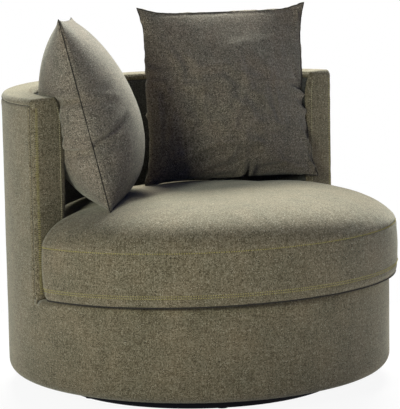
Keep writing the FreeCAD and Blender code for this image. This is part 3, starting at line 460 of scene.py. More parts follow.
def plump(piece, held, growth, cap, bending, rounds, swell, wrinkle):
    """Fills a cover from inside with its seams held: the cloth swells, and strains at them.

    Growth is the cloth's spare share, and no point moves further than the cap. Movement evened
    over some rounds is the broad one, and the rest is the fine one. Swell and wrinkle are the
    shares of the two that are kept.
    """
    start = get_points(piece)
    facings = get_facings(piece)
    seam = piece.vertex_groups.new(name="held_seam")
    seam.add([int(index) for index in held], 1.0, "REPLACE")
    filled = piece.modifiers.new("filled_cover", "CLOTH")
    cloth = filled.settings
    cloth.quality = 4
    cloth.mass = 0.3
    cloth.tension_stiffness = 20
    cloth.compression_stiffness = 20
    cloth.shear_stiffness = 8
    cloth.bending_stiffness = bending
    cloth.use_pressure = True
    cloth.uniform_pressure_force = 4
    cloth.shrink_min = -growth
    cloth.vertex_group_mass = "held_seam"
    cloth.effector_weights.gravity = 0
    filled.collision_settings.use_collision = False
    filled.point_cache.frame_end = SETTLING_FRAMES
    scene = bpy.context.scene
    for number in range(1, SETTLING_FRAMES + 1):
        scene.frame_set(number)
    apply_modifiers(piece)
    scene.frame_set(1)
    moved = get_points(piece) - start
    broad = evened(piece, moved, rounds)
    outward = np.maximum((broad * facings).sum(axis=1, keepdims=True), 0)
    moved = facings * outward * swell + (moved - broad) * wrinkle
    far = np.linalg.norm(moved, axis=1, keepdims=True)
    limit = cap * np.tanh(far / cap) / np.maximum(far, 1e-9)
    set_points(piece, start + moved * limit)
    piece.vertex_groups.clear()


# Ripples beside a seam: how many there are to a metre of noise, and how far they reach.
RIPPLES = 62
RIPPLE_REACH = 18 * MM
# The share of its depth that a fold still has at its end.
CREASE_END = 0.15


def press_line(piece, lines, depth, width, puff, puff_place=8 * MM, spread=1.0):
    """Draws a seam into cloth: a groove along the lines, with the cloth puffed up beside it."""
    tree = line_tree(lines, 1.5 * MM)
    points = get_points(piece)
    facings = get_facings(piece)
    reach = max(3 * width, 3 * puff_place)
    for index, point in enumerate(points):
        distance = tree.find(point)[2]
        if distance > reach:
            continue
        ripple = noise.noise(Vector(point) * RIPPLES) * math.exp(-distance / RIPPLE_REACH)
        lift = -depth * math.exp(-(distance / width) ** 2)
        lift += puff * math.exp(-((distance - puff_place) / puff_place) ** 2)
        lift += ripple * puff * spread
        points[index] = point + facings[index] * lift
    set_points(piece, points)


def press_crease(piece, face, start, end, depth, width, ridge):
    """A fold in one face of a pillow: a valley with a ridge above it, deepest where it starts.

    It runs between two places that are (across, up) shares of the pillow's half.
    """
    points = get_points(piece)
    first = np.array(start) * PILLOW_HALF
    run = np.array(end) * PILLOW_HALF - first
    length = np.linalg.norm(run)
    ahead = run / length
    above = np.array((-ahead[1], ahead[0]))
    if above[1] < 0:
        above = -above
    away = points[:, [0, 2]] - first
    along = away @ ahead / length
    up = away @ above
    over = np.maximum(np.maximum(-along, along - 1), 0) * length
    fade = np.exp(-(over / width) ** 2)
    fade *= CREASE_END + (1 - CREASE_END) * np.clip(1 - along, 0, 1)
    lift = ridge * np.exp(-((up - 1.5 * width) / width) ** 2) - depth * np.exp(-(up / width) ** 2)
    lift = np.where(points[:, 1] * face > 2 * MM, lift * fade, 0)
    set_points(piece, points + get_facings(piece) * lift[:, None])


def rim_level(behind):
    """The rim's level at a distance behind the swivel's axis. The rim slopes up to the front."""
    return RIM_HEIGHT - behind * math.tan(RIM_TILT)


def deck_level(behind):
    """The deck's level at a distance behind the swivel's axis. The deck slopes down to the back."""
    return DECK_HEIGHT - behind * math.tan(DECK_TILT)


def on_tub(angle, radius, level):
    """A point at an angle from the middle of the back, towards +X, at a radius and a level."""
    return AXIS + Vector((radius * math.sin(angle), radius * math.cos(angle), level))


# The wall as a straight padded beam with rounded edges, before it is bent round the swivel's axis.
BEAM_HALF = HALF_WRAP * MIDDLE_RADIUS
BEAM_SIDE = WALL_THICKNESS / 2
# How far its edges are rounded along, across and down.
EDGE = Vector((10 * MM, 12 * MM, 16 * MM))
SEAM_DEPTH = 2.4 * MM
SEAM_WIDTH = 2.0 * MM
SEAM_PUFF = 0.9 * MM
SEAM_PUFF_PLACE = 8 * MM
SEAM_RIPPLES = 60
SEAM_RIPPLE_SHARE = 1.2
SEAM_RIPPLE_REACH = 16 * MM
ARM_CROWN = 3.5 * MM
PAD_UNEVENNESS = 1.3 * MM
PAD_WAVES = 8
PAD_WAVE_START = 30 * MM
TUCK = 12 * MM
TUCK_DEPTH = 3 * MM
TUCK_START = 2 * MM
ALONG_STEPS = 110
DOWN_STEPS = 46
BEND_STEPS = 6
BESIDE_SEAM = [0, 1.2 * MM, 2.4 * MM, 4 * MM, 6 * MM, 9 * MM, 13 * MM, 18 * MM, 24 * MM]
CLEAR_OF_SEAM = 28 * MM


def bend_stations(half, edge):
    """Places across a rounded edge, from where it starts to the corner of the squared shape."""
    turns = np.linspace(0, math.pi / 4, BEND_STEPS + 1)
    return [half - edge * (1 - math.tan(turn)) for turn in turns]


def flat_stations(low, high, steps, seam_low, seam_high):
    """Places on a flat stretch, close together beside its seams."""
    stations = set(np.linspace(low, high, steps + 1).round(6))
    if seam_high:
        stations = {place for place in stations if place < high - CLEAR_OF_SEAM}
        stations |= {round(high - step, 6) for step in BESIDE_SEAM}
    if seam_low:
        stations = {place for place in stations if place > low + CLEAR_OF_SEAM}
        stations |= {round(low + step, 6) for step in BESIDE_SEAM}
    return sorted(stations)


# The padding inside the wall beside an arm's end: it starts under the rim and ends on the cushion.
ARM_PAD = 14 * MM
ARM_PAD_RUN = 75 * MM
ARM_PAD_START = 30 * MM
ARM_PAD_END = 340 * MM
ARM_PAD_FADE = 70 * MM


def arm_padding(length, drop):
    """How far the inside of the wall is padded out beside an arm's end."""
    share = math.exp(-((BEAM_HALF - abs(length)) / ARM_PAD_RUN) ** 2)
    under_rim = 1 - math.exp(-(drop / ARM_PAD_START) ** 2)
    above = max(0, min(1, (ARM_PAD_END - drop) / ARM_PAD_FADE))
    return ARM_PAD * share * under_rim * above * above * (3 - 2 * above)


def seam_distance(length, side, drop):
    """How far a point of the wall's squared beam is from its nearest seam."""
    from_end = BEAM_HALF - EDGE.x - abs(length)
    from_rim = drop - EDGE.z
    if abs(side) < BEAM_SIDE - 1e-6:
        return BEAM_SIDE - abs(side) + min(EDGE.x, EDGE.z)
    if from_end < 0 and from_rim < 0:
        return math.hypot(from_end, from_rim)
    if from_end < 0:
        return -from_end
    if from_rim < 0:
        return -from_rim
    return min(from_end, from_rim)


def wall_point(length, side, drop, tucked=True):
    """A point of the wall's skin from its place along, across and down the squared beam."""
    core = Vector((
        max(-BEAM_HALF + EDGE.x, min(BEAM_HALF - EDGE.x, length)),
        max(-BEAM_SIDE + EDGE.y, min(BEAM_SIDE - EDGE.y, side)),
        -max(EDGE.z, drop),
    ))
    out = Vector((length, side, -drop)) - core
    unit = Vector((out.x / EDGE.x, out.y / EDGE.y, out.z / EDGE.z)).normalized()
    facing = Vector((unit.x / EDGE.x, unit.y / EDGE.y, unit.z / EDGE.z)).normalized()
    place = core + Vector((unit.x * EDGE.x, unit.y * EDGE.y, unit.z * EDGE.z))
    distance = seam_distance(length, side, drop)
    ripple = noise.noise(place * SEAM_RIPPLES) * SEAM_PUFF * SEAM_RIPPLE_SHARE
    wave = noise.noise(place * PAD_WAVES) * PAD_UNEVENNESS
    lift = -SEAM_DEPTH * math.exp(-(distance / SEAM_WIDTH) ** 2)
    lift += SEAM_PUFF * math.exp(-((distance - SEAM_PUFF_PLACE) / SEAM_PUFF_PLACE) ** 2)
    lift += ripple * math.exp(-distance / SEAM_RIPPLE_REACH)
    lift += wave * (1 - math.exp(-distance / PAD_WAVE_START))
    if abs(length) > BEAM_HALF - EDGE.x:
        lift += ARM_CROWN * abs(facing.x) * max(0, 1 - (side / BEAM_SIDE) ** 2)
    angle = place.x / MIDDLE_RADIUS
    behind = (MIDDLE_RADIUS + place.y) * math.cos(angle)
    below = drop - (rim_level(behind) - deck_level(behind)) + TUCK_START
    if tucked and below > 0:
        lift -= min(TUCK_DEPTH, below)
    place += facing * lift
    place.y -= arm_padding(length, drop) * max(0, -place.y / BEAM_SIDE)
    angle = place.x / MIDDLE_RADIUS
    return on_tub(angle, MIDDLE_RADIUS + place.y, rim_level(behind) + place.z)


def wall_patch(lengths, sides, drops):
    """A grid of wall points where one of the three ways is held fixed."""
    if len(drops) == 1:
        rows = [[(length, side, drops[0]) for side in sides] for length in lengths]
    elif len(lengths) == 1:
        rows = [[(lengths[0], side, drop) for drop in drops] for side in sides]
    else:
        rows = [[(length, sides[0], drop) for drop in drops] for length in lengths]
    points = [wall_point(*place) for row in rows for place in row]
    return points, grid_faces(len(rows), len(rows[0]))


def cloth_piece(name, patches, material):
    """A cover made of grids that meet, with its cloth's thickness inwards."""
    points, faces = [], []
    for patch_points, patch_faces in patches:
        faces += [tuple(index + len(points) for index in face) for face in patch_faces]
        points += patch_points
    piece = new_piece(name, points, faces, material)
    weld(piece)
    skin = piece.modifiers.new("cloth_thickness", "SOLIDIFY")
    skin.thickness = CLOTH
    skin.offset = -1
    return piece


WALL_DROP = RIM_HEIGHT - DECK_HEIGHT + TUCK
INNER_END = 14 * MM
ACROSS_STEPS = 10
MAIN_ALONG = flat_stations(-BEAM_HALF + EDGE.x, BEAM_HALF - EDGE.x, ALONG_STEPS, True, True)


def wall_boxing(material):
    """The band of cloth that runs over the rim and down both arm ends, between its two seams."""
    bend_along = bend_stations(BEAM_HALF, EDGE.x)[1:]
    along = [-place for place in reversed(bend_along)] + MAIN_ALONG + bend_along
    flat_across = list(np.linspace(-BEAM_SIDE + EDGE.y, BEAM_SIDE - EDGE.y, ACROSS_STEPS + 1))
    bend_across = bend_stations(BEAM_SIDE, EDGE.y)[1:]
    across = [-place for place in reversed(bend_across)] + flat_across + bend_across
    bend_down = [BEAM_SIDE - place for place in reversed(bend_stations(BEAM_SIDE, EDGE.z)[:-1])]
    down = [0.0] + bend_down + flat_stations(EDGE.z, WALL_DROP, DOWN_STEPS, True, False)[1:]
    patches = [wall_patch(along, across, [0.0])]
    for end in (-1, 1):
        patches.append(wall_patch([end * BEAM_HALF], across, down))
        corner = [end * place for place in bend_stations(BEAM_HALF, EDGE.x)]
        for side in (-1, 1):
            patches.append(wall_patch(corner, [side * BEAM_SIDE], down))
    for side in (-1, 1):
        patches.append(wall_patch(MAIN_ALONG, [side * BEAM_SIDE], [0.0] + bend_down))
    return cloth_piece("rim_and_arm_boxing", patches, material)


def inner_wall(material):
    """The cloth on the inside of the wall, down to the deck."""
    down = flat_stations(EDGE.z, WALL_DROP - INNER_END, DOWN_STEPS, True, False)
    patch = wall_patch(MAIN_ALONG, [-BEAM_SIDE], down)
    return cloth_piece("inner_wall_cover", [patch], material)


SKIRT_STEPS = 8
DRUM_STEPS = 14
WALL_STEPS = 36
FRONT_STEPS = 130
DRUM_UNEVENNESS = 1.2 * MM
# How high the drum's cloth runs on behind the boxing of an arm's end.
ARM_FLAP = (4 * MM, 8 * MM, 12 * MM, 15 * MM)


def skirt_profile():
    """The drum's profile from under the tub to its straight side, as (radius, level)."""
    turn_radius = OUTER_RADIUS - SKIRT_ROUND
    profile = [(OUTER_RADIUS - SKIRT_REACH, SKIRT_HEIGHT)]
    for turn in np.linspace(0, math.pi / 2, SKIRT_STEPS + 1):
        reach = turn_radius + SKIRT_ROUND * math.sin(turn)
        profile.append((reach, SKIRT_HEIGHT + SKIRT_ROUND * (1 - math.cos(turn))))
    return profile


def drum_column(angle, ending):
    """One upright line of the outer cloth, from under the tub to the rim, an arm or the edge."""
    behind = OUTER_RADIUS * math.cos(angle)
    column = [on_tub(angle, radius, level) for radius, level in skirt_profile()]
    edge = deck_level(behind) - EDGE_ROUND
    straight = SKIRT_HEIGHT + SKIRT_ROUND
    for share in np.linspace(0, 1, DRUM_STEPS + 1)[1:]:
        level = straight + (edge - straight) * share
        wave = noise.noise(on_tub(angle, OUTER_RADIUS, level) * PAD_WAVES)
        uneven = wave * DRUM_UNEVENNESS * math.sin(math.pi * share)
        column.append(on_tub(angle, OUTER_RADIUS + uneven, level))
    if ending == "rim":
        drops = flat_stations(EDGE.z, rim_level(behind) - edge, WALL_STEPS, True, False)
        length = angle * MIDDLE_RADIUS
        return column + [wall_point(length, BEAM_SIDE, drop, False) for drop in drops[-2::-1]]
    if ending == "arm":
        return column + [on_tub(angle, OUTER_RADIUS, edge + rise) for rise in ARM_FLAP]
    for turn in np.linspace(0, math.pi / 2, BEND_STEPS + 1)[1:]:
        radius = OUTER_RADIUS - EDGE_ROUND * (1 - math.cos(turn))
        column.append(on_tub(angle, radius, edge + EDGE_ROUND * math.sin(turn)))
    column.append(on_tub(angle, INNER_RADIUS + MM, deck_level(behind)))
    return column


def drum_cover(material):
    """The cloth round the whole drum and up the outside of the wall."""
    seam = MAIN_ALONG[-1] / MIDDLE_RADIUS
    end = HALF_WRAP
    fields = [([place / MIDDLE_RADIUS for place in MAIN_ALONG], "rim")]
    fields += [(np.linspace(seam, end, 3), "arm"), (np.linspace(-end, -seam, 3), "arm")]
    fields.append((np.linspace(end, 2 * math.pi - end, FRONT_STEPS + 1), "front"))
    patches = []
    for angles, ending in fields:
        columns = [drum_column(angle, ending) for angle in angles]
        points = [point for column in columns for point in column]
        patches.append((points, grid_faces(len(columns), len(columns[0]))))
    return cloth_piece("drum_and_outer_cover", patches, material)


# The stitches on an arm's end, each counted from one side of the wall.
ARM_STITCH_START = 22 * MM
ARM_STITCH_PITCH = 4.6 * MM
ARM_THREAD = 2.0 * MM
RUNG_SIDES = (1 * MM, 16 * MM)
RUNG_SLANT = 0.6 * MM
RUNG_JOG = 1.2 * MM
RUNG_JOGS = 300
DASH_SIDE = 11 * MM
DASH_LENGTH = 3.8 * MM


def arm_end_facing(end):
    """The way that an arm's end faces."""
    return Vector((end * math.cos(HALF_WRAP), -math.sin(HALF_WRAP), 0))


def arm_stitching(ladder_thread, line_thread):
    """The ladder of stitches beside each arm's outer seam, and the line beside its inner seam."""
    rungs, dashes = [], []
    for end in (-1, 1):
        facing = arm_end_facing(end)
        length = end * BEAM_HALF
        for drop in np.arange(ARM_STITCH_START, WALL_DROP - ARM_STITCH_START, ARM_STITCH_PITCH):
            outer = BEAM_SIDE + RUNG_JOG * noise.noise(Vector((drop * RUNG_JOGS, end, 0)))
            start = wall_point(length, outer - RUNG_SIDES[0], drop)
            stop = wall_point(length, outer - RUNG_SIDES[1], drop + RUNG_SLANT)
            rungs.append((start, stop, facing))
            start = wall_point(length, DASH_SIDE - BEAM_SIDE, drop)
            stop = wall_point(length, DASH_SIDE - BEAM_SIDE, drop + DASH_LENGTH)
            dashes.append((start, stop, facing))
    return [
        thread_row("arm_ladder_stitching", rungs, ARM_THREAD, ladder_thread),
        thread_row("arm_inner_stitching", dashes, ARM_THREAD, line_thread),
    ]


WALL_CORD = 1.8 * MM
ARM_SEAM_STEPS = 80


def seam_place(length, side, drop):
    """A point in the bottom of one of the wall's grooves."""
    return wall_point(length, side * BEAM_SIDE, drop, False)


def wall_seam_shades(material):
    """Near-black cords along the seams between the boxing and both sides of the wall: painted shade of their
    grooves.
    """
    lines = []
    for side in (-1, 1):
        lines.append([seam_place(length, side, EDGE.z) for length in MAIN_ALONG])
        for end in (-1, 1):
            length = end * (BEAM_HALF - EDGE.x)
            drops = np.linspace(EDGE.z, WALL_DROP - TUCK, ARM_SEAM_STEPS)
            lines.append([seam_place(length, side, drop) for drop in drops])
    return seam_shade_cord("wall_seam_shades", lines, WALL_CORD, material)


# Seat cushion

# Points along half of the plan: its back, the line of the ear, the ear's corner and the front.
OUTLINE_COUNTS = (40, 10, 12, 70)
# The rings of the underside, as shares of the plan.
BASE_SCALES = (0.02, 0.3, 0.6, 0.85, 0.95, 1.0)
CORNER_STEPS = 6
BOXING_STEPS = 14
CROWN_STEPS = 45


def arc_points(centre, radius, start, end, count):
    """Points on an arc, its last one left for the next stretch."""
    points = []
    for turn in np.linspace(start, end, count, endpoint=False):
        across = centre.x + radius * math.sin(turn)
        points.append(Vector((across, centre.y + radius * math.cos(turn), 0)))
    return points


def cushion_outline(inset=0.0, scale=1.0):
    """The cushion's plan, drawn in and then scaled about its middle, from the back round by +X."""
    middle = Vector((0, -CUSHION_FORWARD, 0))
    front = CUSHION_FRONT - inset
    back = CUSHION_BACK - inset
    ear = CUSHION_EAR_LINE - inset
    bend = CUSHION_EAR_ROUND
    bend_across = math.sqrt((front - bend) ** 2 - (ear - bend + CUSHION_FORWARD) ** 2)
    bend_centre = Vector((bend_across, ear - bend, 0))
    meet = math.atan2(bend_across, ear - bend + CUSHION_FORWARD)
    notch = math.acos(ear / back)
    counts = OUTLINE_COUNTS
    half = arc_points(Vector((0, 0, 0)), back, 0, notch, counts[0])
    notch_point = Vector((back * math.sin(notch), ear, 0))
    ear_end = Vector((bend_across, ear, 0))
    shares = np.linspace(0, 1, counts[1], endpoint=False)
    half += [notch_point.lerp(ear_end, share) for share in shares]
    half += arc_points(bend_centre, bend, 0, meet, counts[2])
    half += arc_points(middle, front, meet, math.pi, counts[3])
    half.append(Vector((0, middle.y - front, 0)))
    other = [Vector((-point.x, point.y, 0)) for point in reversed(half[1:-1])]
    return [middle + (point - middle) * scale for point in half + other]


def in_deck_frame(point):
    """A point of the deck's tilted frame in the chair's own frame."""
    return AXIS + Vector((0, 0, DECK_HEIGHT)) + Matrix.Rotation(-DECK_TILT, 3, "X") @ point


def cushion_line(inset, level):
    """A closed line round the cushion."""
    line = [in_deck_frame(point + Vector((0, 0, level))) for point in cushion_outline(inset)]
    return line + line[:1]


def crown_height(point, width):
    """The crown's share of its height over its seam, fuller to the front left as photographed."""
    side = max(0.0, (point + Vector((0, CUSHION_FORWARD, 0))).normalized().dot(FULL_SIDE))
    shoulder = CROWN_SHOULDER + FULLER_SHOULDER * side
    return (1 - width ** (CROWN_FULLNESS + FULLER * side)) ** (1 / shoulder)


def cushion_rings():
    """The cushion's rings from the middle of its underside to its top, as (inset, scale, level).

    A ring of the crown has no level, because its height changes along it.
    """
    foot = CUSHION_FOOT_INSET
    rings = [(foot, scale, CUSHION_FOOT) for scale in BASE_SCALES]
    for share in np.linspace(0, 1, CORNER_STEPS + 1)[1:-1]:
        turn = share * math.pi / 2
        inset = foot - (foot - CUSHION_SEAM_DRAW) * math.sin(turn)
        rise = (CUSHION_LOW_SEAM - CUSHION_FOOT) * (1 - math.cos(turn))
        rings.append((inset, 1.0, CUSHION_FOOT + rise))
    for share in np.linspace(0, 1, BOXING_STEPS + 1):
        inset = CUSHION_SEAM_DRAW * (2 * share - 1) ** 2
        rise = (CUSHION_TOP_SEAM - CUSHION_LOW_SEAM) * share
        rings.append((inset, 1.0, CUSHION_LOW_SEAM + rise))
    for turn in np.linspace(0, math.pi / 2, CROWN_STEPS + 1)[1:-1]:
        rings.append((CUSHION_SEAM_DRAW, math.cos(turn) ** 0.5, None))
    return rings


CUSHION_MESH = 6 * MM
CUSHION_SWELL = 2 * MM
CUSHION_HELD = 5 * MM
CUSHION_UNDERSIDE = 14 * MM


def near_lines(piece, lines, reach):
    """The points of a piece that lie near some lines."""
    tree = line_tree(lines, 2 * MM)
    return [index for index, point in enumerate(get_points(piece)) if tree.find(point)[2] < reach]


def seat_cushion(material):
    """The loose cushion: boxed sides between two sewn seams and a high soft crown."""
    crown = CUSHION_CROWN - CUSHION_SWELL
    rings = cushion_rings()
    points = []
    for inset, scale, level in rings:
        for point in cushion_outline(inset, scale):
            height = level
            if level is None:
                height = CUSHION_TOP_SEAM + crown * crown_height(point, scale)
            points.append(in_deck_frame(point + Vector((0, 0, height))))
    around = len(cushion_outline())
    faces = grid_faces(len(rings), around, closed=True)
    faces.append(tuple(reversed(range(around))))
    faces.append(tuple(range((len(rings) - 1) * around, len(rings) * around)))
    piece = new_piece("seat_cushion", points, faces, material)
    even = piece.modifiers.new("even_mesh", "REMESH")
    even.mode = "VOXEL"
    even.voxel_size = CUSHION_MESH
    apply_modifiers(piece)
    levels = (CUSHION_LOW_SEAM, CUSHION_TOP_SEAM)
    seams = [cushion_line(CUSHION_SEAM_DRAW, level) for level in levels]
    held = set(near_lines(piece, seams, CUSHION_HELD))
    low = in_deck_frame(Vector((0, 0, CUSHION_FOOT))).z + CUSHION_UNDERSIDE
    held |= {index for index, point in enumerate(get_points(piece)) if point[2] < low}
    plump(
        piece, sorted(held), growth=0.006, cap=24 * MM, bending=0.6, rounds=40, swell=0.15,
        wrinkle=0.12,
    )
    smooth = piece.modifiers.new("fine_mesh", "SUBSURF")
    smooth.levels = 1
    smooth.render_levels = 1
    apply_modifiers(piece)
    press_line(piece, seams[:1], depth=1.2 * MM, width=2.6 * MM, puff=0.8 * MM)
    press_line(piece, seams[1:], depth=2.0 * MM, width=2.4 * MM, puff=1.0 * MM)
    return piece


BOTTOM_CORD = 3.4 * MM


def foot_seam_shade(material):
    """A near-black cord round the cushion's lower corner, where its boxing meets its underside: a seam is there,
    and its darkness is painted shade under the cushion's lip.
    """
    line = cushion_line(CUSHION_FOOT_INSET - 3 * MM, CUSHION_FOOT + 2.6 * MM)
    return seam_shade_cord("cushion_foot_seam_shade", [line], BOTTOM_CORD, material)


BAND_THICKNESS = 16 * MM
BAND_TOP_ROUND = 2 * MM
BAND_FOOT_ROUND = 1.5 * MM
BAND_GAP = 1.5 * MM
BAND_STAND_OUT = 1 * MM
BAND_STEPS = 180


def plinth_band(material):
    """The lacquered band of the plinth with its rounded edges, which ends just over the floor."""
    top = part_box("plinth_ring")[1].z
    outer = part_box("floor_glides")[1].x + BAND_STAND_OUT
    inner = outer - BAND_THICKNESS
    foot = BAND_GAP + 2 * MM
    profile = [(inner, top), (outer - BAND_TOP_ROUND, top), (outer, top - BAND_TOP_ROUND)]
    profile += [(outer, foot), (outer - BAND_FOOT_ROUND, BAND_GAP)]
    profile += [(inner + BAND_FOOT_ROUND, BAND_GAP), (inner, foot)]
    turns = [step * math.tau / BAND_STEPS for step in range(BAND_STEPS)]
    points = [on_tub(turn, radius, level) for radius, level in profile for turn in turns]
    faces = grid_faces(len(profile), BAND_STEPS, closed=True)
    last = (len(profile) - 1) * BAND_STEPS
    for step in range(BAND_STEPS):
        after = (step + 1) % BAND_STEPS
        faces.append((last + step, last + after, after, step))
    piece = new_piece("plinth_band", points, faces, material)
    weld(piece)
    return piece


def surface_of(piece):
    """A piece's surface in the chair's own frame, for laying things on it."""
    mesh = piece.data
    points = [piece.matrix_world @ vertex.co for vertex in mesh.vertices]
    faces = [tuple(polygon.vertices) for polygon in mesh.polygons]
    return bvhtree.BVHTree.FromPolygons(points, faces)


# The cushion's topstitching is thicker and longer than the real thread, so that it shows.
STITCH_LENGTH = 3.4 * MM
STITCH_PITCH = 5.5 * MM
STITCH_ROWS = (
    ("cushion_top_stitching", (CUSHION_TOP_SEAM,), 2.2 * MM),
    ("cushion_low_stitching", (CUSHION_LOW_SEAM, CUSHION_LOW_SEAM + 6 * MM), 1.8 * MM),
)


def cushion_stitching(surface, thread):
    """One line of topstitching along the cushion's top seam and a close pair at the low seam."""
    pieces = []
    for name, levels, thickness in STITCH_ROWS:
        stitches = []
        for level in levels:
            line = resample(cushion_line(CUSHION_SEAM_DRAW, level), STITCH_PITCH)
            for place, after in zip(line, line[1:]):
                spot, facing = surface.find_nearest(place)[:2]
                end = place + (after - place).normalized() * STITCH_LENGTH
                stitches.append((spot, surface.find_nearest(end)[0], facing))
        pieces.append(thread_row(name, stitches, thickness, thread))
    return pieces


# Pillows

PILLOW_STEPS = 76
PILLOW_BEND = 0.8 * math.pi / 2
# The lower seam is drawn in by this share, and the lower and left parts thin out by this power.
BOTTOM_DRAW = 0.65
FULLNESS = 0.6
BACK_DROOP = 0.12
TIP_SHARPNESS = 18
PUCKER_SHARPNESS = 6
EDGE_STEPS = 120
# The filling adds to a cover that starts this much flatter. The swell grows with the cover's rise
# over its seams, and the wrinkles fade towards the pillow's top, where the cloth is pulled smooth.
BEFORE_FILLING = 0.95
SWELL_RISE = 0.7
SWELL_START = 0.1
SWELL_SHARE = 0.2
WRINKLE_RISE = 0.3
WRINKLE_MOST = 0.9
WRINKLE_MIDDLE = 1.1
WRINKLE_FADE = 1.5
WRINKLE_LEAST = 0.1
PILLOW_CORD = 2.8 * MM
# The cord lies just inside the edge, and paints the seam's shade as a dark line.
CORD_PLACE = 0.995


def pillow_place(across, up, front, plumpness, shape):
    """A point of a pillow's cover in its own frame: X its width, Z up it, -Y its front."""
    draw_in, ear, tip, thinning, droop, puckers = shape
    draw_up = draw_in * (1 if up > 0 else BOTTOM_DRAW)
    wide = PILLOW_HALF - draw_in * (1 - abs(up) ** ear) + tip * abs(up) ** TIP_SHARPNESS
    tall = PILLOW_HALF - draw_up * (1 - abs(across) ** ear) + tip * abs(across) ** TIP_SHARPNESS
    for side, place, width, draw in puckers:
        run = across if side == "bottom" else up
        pull = draw * math.exp(-((run - place) / width) ** 2)
        if side == "bottom":
            tall -= pull * max(0, -up) ** PUCKER_SHARPNESS
        else:
            toward = across if side == "right" else -across
            wide -= pull * max(0, toward) ** PUCKER_SHARPNESS
    full = (1 - across ** 2) ** (FULLNESS if across < 0 else thinning)
    full *= (1 - up ** 2) ** (FULLNESS if up < 0 else thinning)
    sag = 1 - (droop if front < 0 else BACK_DROOP) * up
    return Vector((across * wide, front * plumpness * full * sag, up * tall))


def pillow_edges(shape):
    """A pillow's four seamed edges in its own frame."""
    runs = np.linspace(-1, 1, EDGE_STEPS)
    edges = []
    for end in (-1, 1):
        edges.append([pillow_place(end, run, 1, 0, shape) for run in runs])
        edges.append([pillow_place(run, end, 1, 0, shape) for run in runs])
    return edges


def pillow_cover(name, material, plumpness, shape, matrix):
    """A knife-edged pillow, filled and in its place, by the plumpness of its front and back."""
    runs = np.linspace(-1, 1, PILLOW_STEPS + 1)
    shares = [math.sin(PILLOW_BEND * run) / math.sin(PILLOW_BEND) for run in runs]
    points, faces = [], []
    for front, full in zip((-1, 1), plumpness):
        layer = grid_faces(len(shares), len(shares), first=len(points))
        faces += layer if front < 0 else [tuple(reversed(quad)) for quad in layer]
        for up in shares:
            plump_now = full * BEFORE_FILLING
            points += [pillow_place(across, up, front, plump_now, shape) for across in shares]
    piece = new_piece(name, points, faces, material)
    weld(piece)
    piece.matrix_world = matrix
    points = get_points(piece)
    rise = np.abs(points[:, 1:2]) / max(plumpness)
    fade = WRINKLE_MIDDLE - WRINKLE_FADE * points[:, 2:3] / PILLOW_HALF
    plump(
        piece, near_lines(piece, pillow_edges(shape), 1.5 * MM), growth=0.014, cap=26 * MM,
        bending=0.8, rounds=24,
        swell=np.clip(rise / SWELL_RISE - SWELL_START, 0, 1) * SWELL_SHARE,
        wrinkle=np.clip(rise / WRINKLE_RISE, 0, WRINKLE_MOST) * np.clip(fade, WRINKLE_LEAST, 1),
    )
    points = get_points(piece)
    for front, full in zip((-1, 1), plumpness):
        face = points[:, 1] * front > 0
        points[face, 1] *= full / np.abs(points[face, 1]).max()
    set_points(piece, points)
    return piece


def pillow_matrix(setback, around, rise, yaw, lean, roll):
    """Where a pillow stands, and how it is turned.

    Its middle is set back from the wall's outside, at degrees round the tub from the back.
    """
    spot = on_tub(math.radians(around), OUTER_RADIUS - setback, SEAT_TOP + rise)
    turns = Matrix.Rotation(math.radians(yaw), 4, "Z")
    turns = turns @ Matrix.Rotation(math.radians(lean), 4, "X")
    turns = turns @ Matrix.Rotation(math.radians(roll), 4, "Y")
    return Matrix.Translation(spot) @ turns


PILLOW_REST = 0.6 * MM
# The wall ends this far behind the axis, and a ray down onto the seat starts at this height.
WALL_END = INNER_RADIUS * math.cos(HALF_WRAP) - 10 * MM
OVERHEAD = 2


def rest_pillow(piece, seat):
    """Lets a pillow yield where it meets the wall, the rim and the cushion."""
    place = piece.matrix_world
    back = place.inverted()
    points = get_points(piece)
    for index, point in enumerate(points):
        spot = place @ Vector(point)
        out = Vector((spot.x - AXIS.x, spot.y - AXIS.y, 0))
        rim = rim_level(out.y) + PILLOW_REST
        padding = arm_padding(math.atan2(out.x, out.y) * MIDDLE_RADIUS, max(0, rim - spot.z))
        into = out.length - (INNER_RADIUS - PILLOW_REST - padding)
        if into > 0 and spot.z < rim and out.y > WALL_END:
            if into < rim - spot.z:
                spot -= out.normalized() * into
            else:
                spot.z = rim
        hit = seat.ray_cast(Vector((spot.x, spot.y, OVERHEAD)), Vector((0, 0, -1)))[0]
        if hit and spot.z < hit.z + PILLOW_REST:
            spot.z = hit.z + PILLOW_REST
        points[index] = back @ spot
    set_points(piece, points)


# Each pillow's shape: how far its sides are drawn in, how short its ears are, how far its corners
# stand out, how it thins to its top and right seams (more is thinner), how much lower the fullest
# part of its front lies, and the puckers in its edges: side, place, width and draw. A draw under 0
# lets the edge out.
BACK_SHAPE = (24 * MM, 7.0, -7 * MM, 1.0, 0.12, (
    ("right", 0.1, 0.55, 4 * MM), ("left", 0.0, 0.6, -10 * MM),
    ("right", -0.14, 0.06, 4 * MM), ("right", -0.62, 0.05, 4 * MM),
    ("bottom", 0.10, 0.03, 8 * MM), ("bottom", -0.52, 0.03, 6 * MM), ("left", 0.2, 0.04, 5 * MM),
    ("left", -1.0, 0.5, -14 * MM),
))
ARM_SHAPE = (6 * MM, 5.0, 1 * MM, 0.6, 0.24, (
    ("left", 0.18, 0.04, 5 * MM), ("left", -0.35, 0.05, 5 * MM), ("right", 0.1, 0.04, 6 * MM),
))
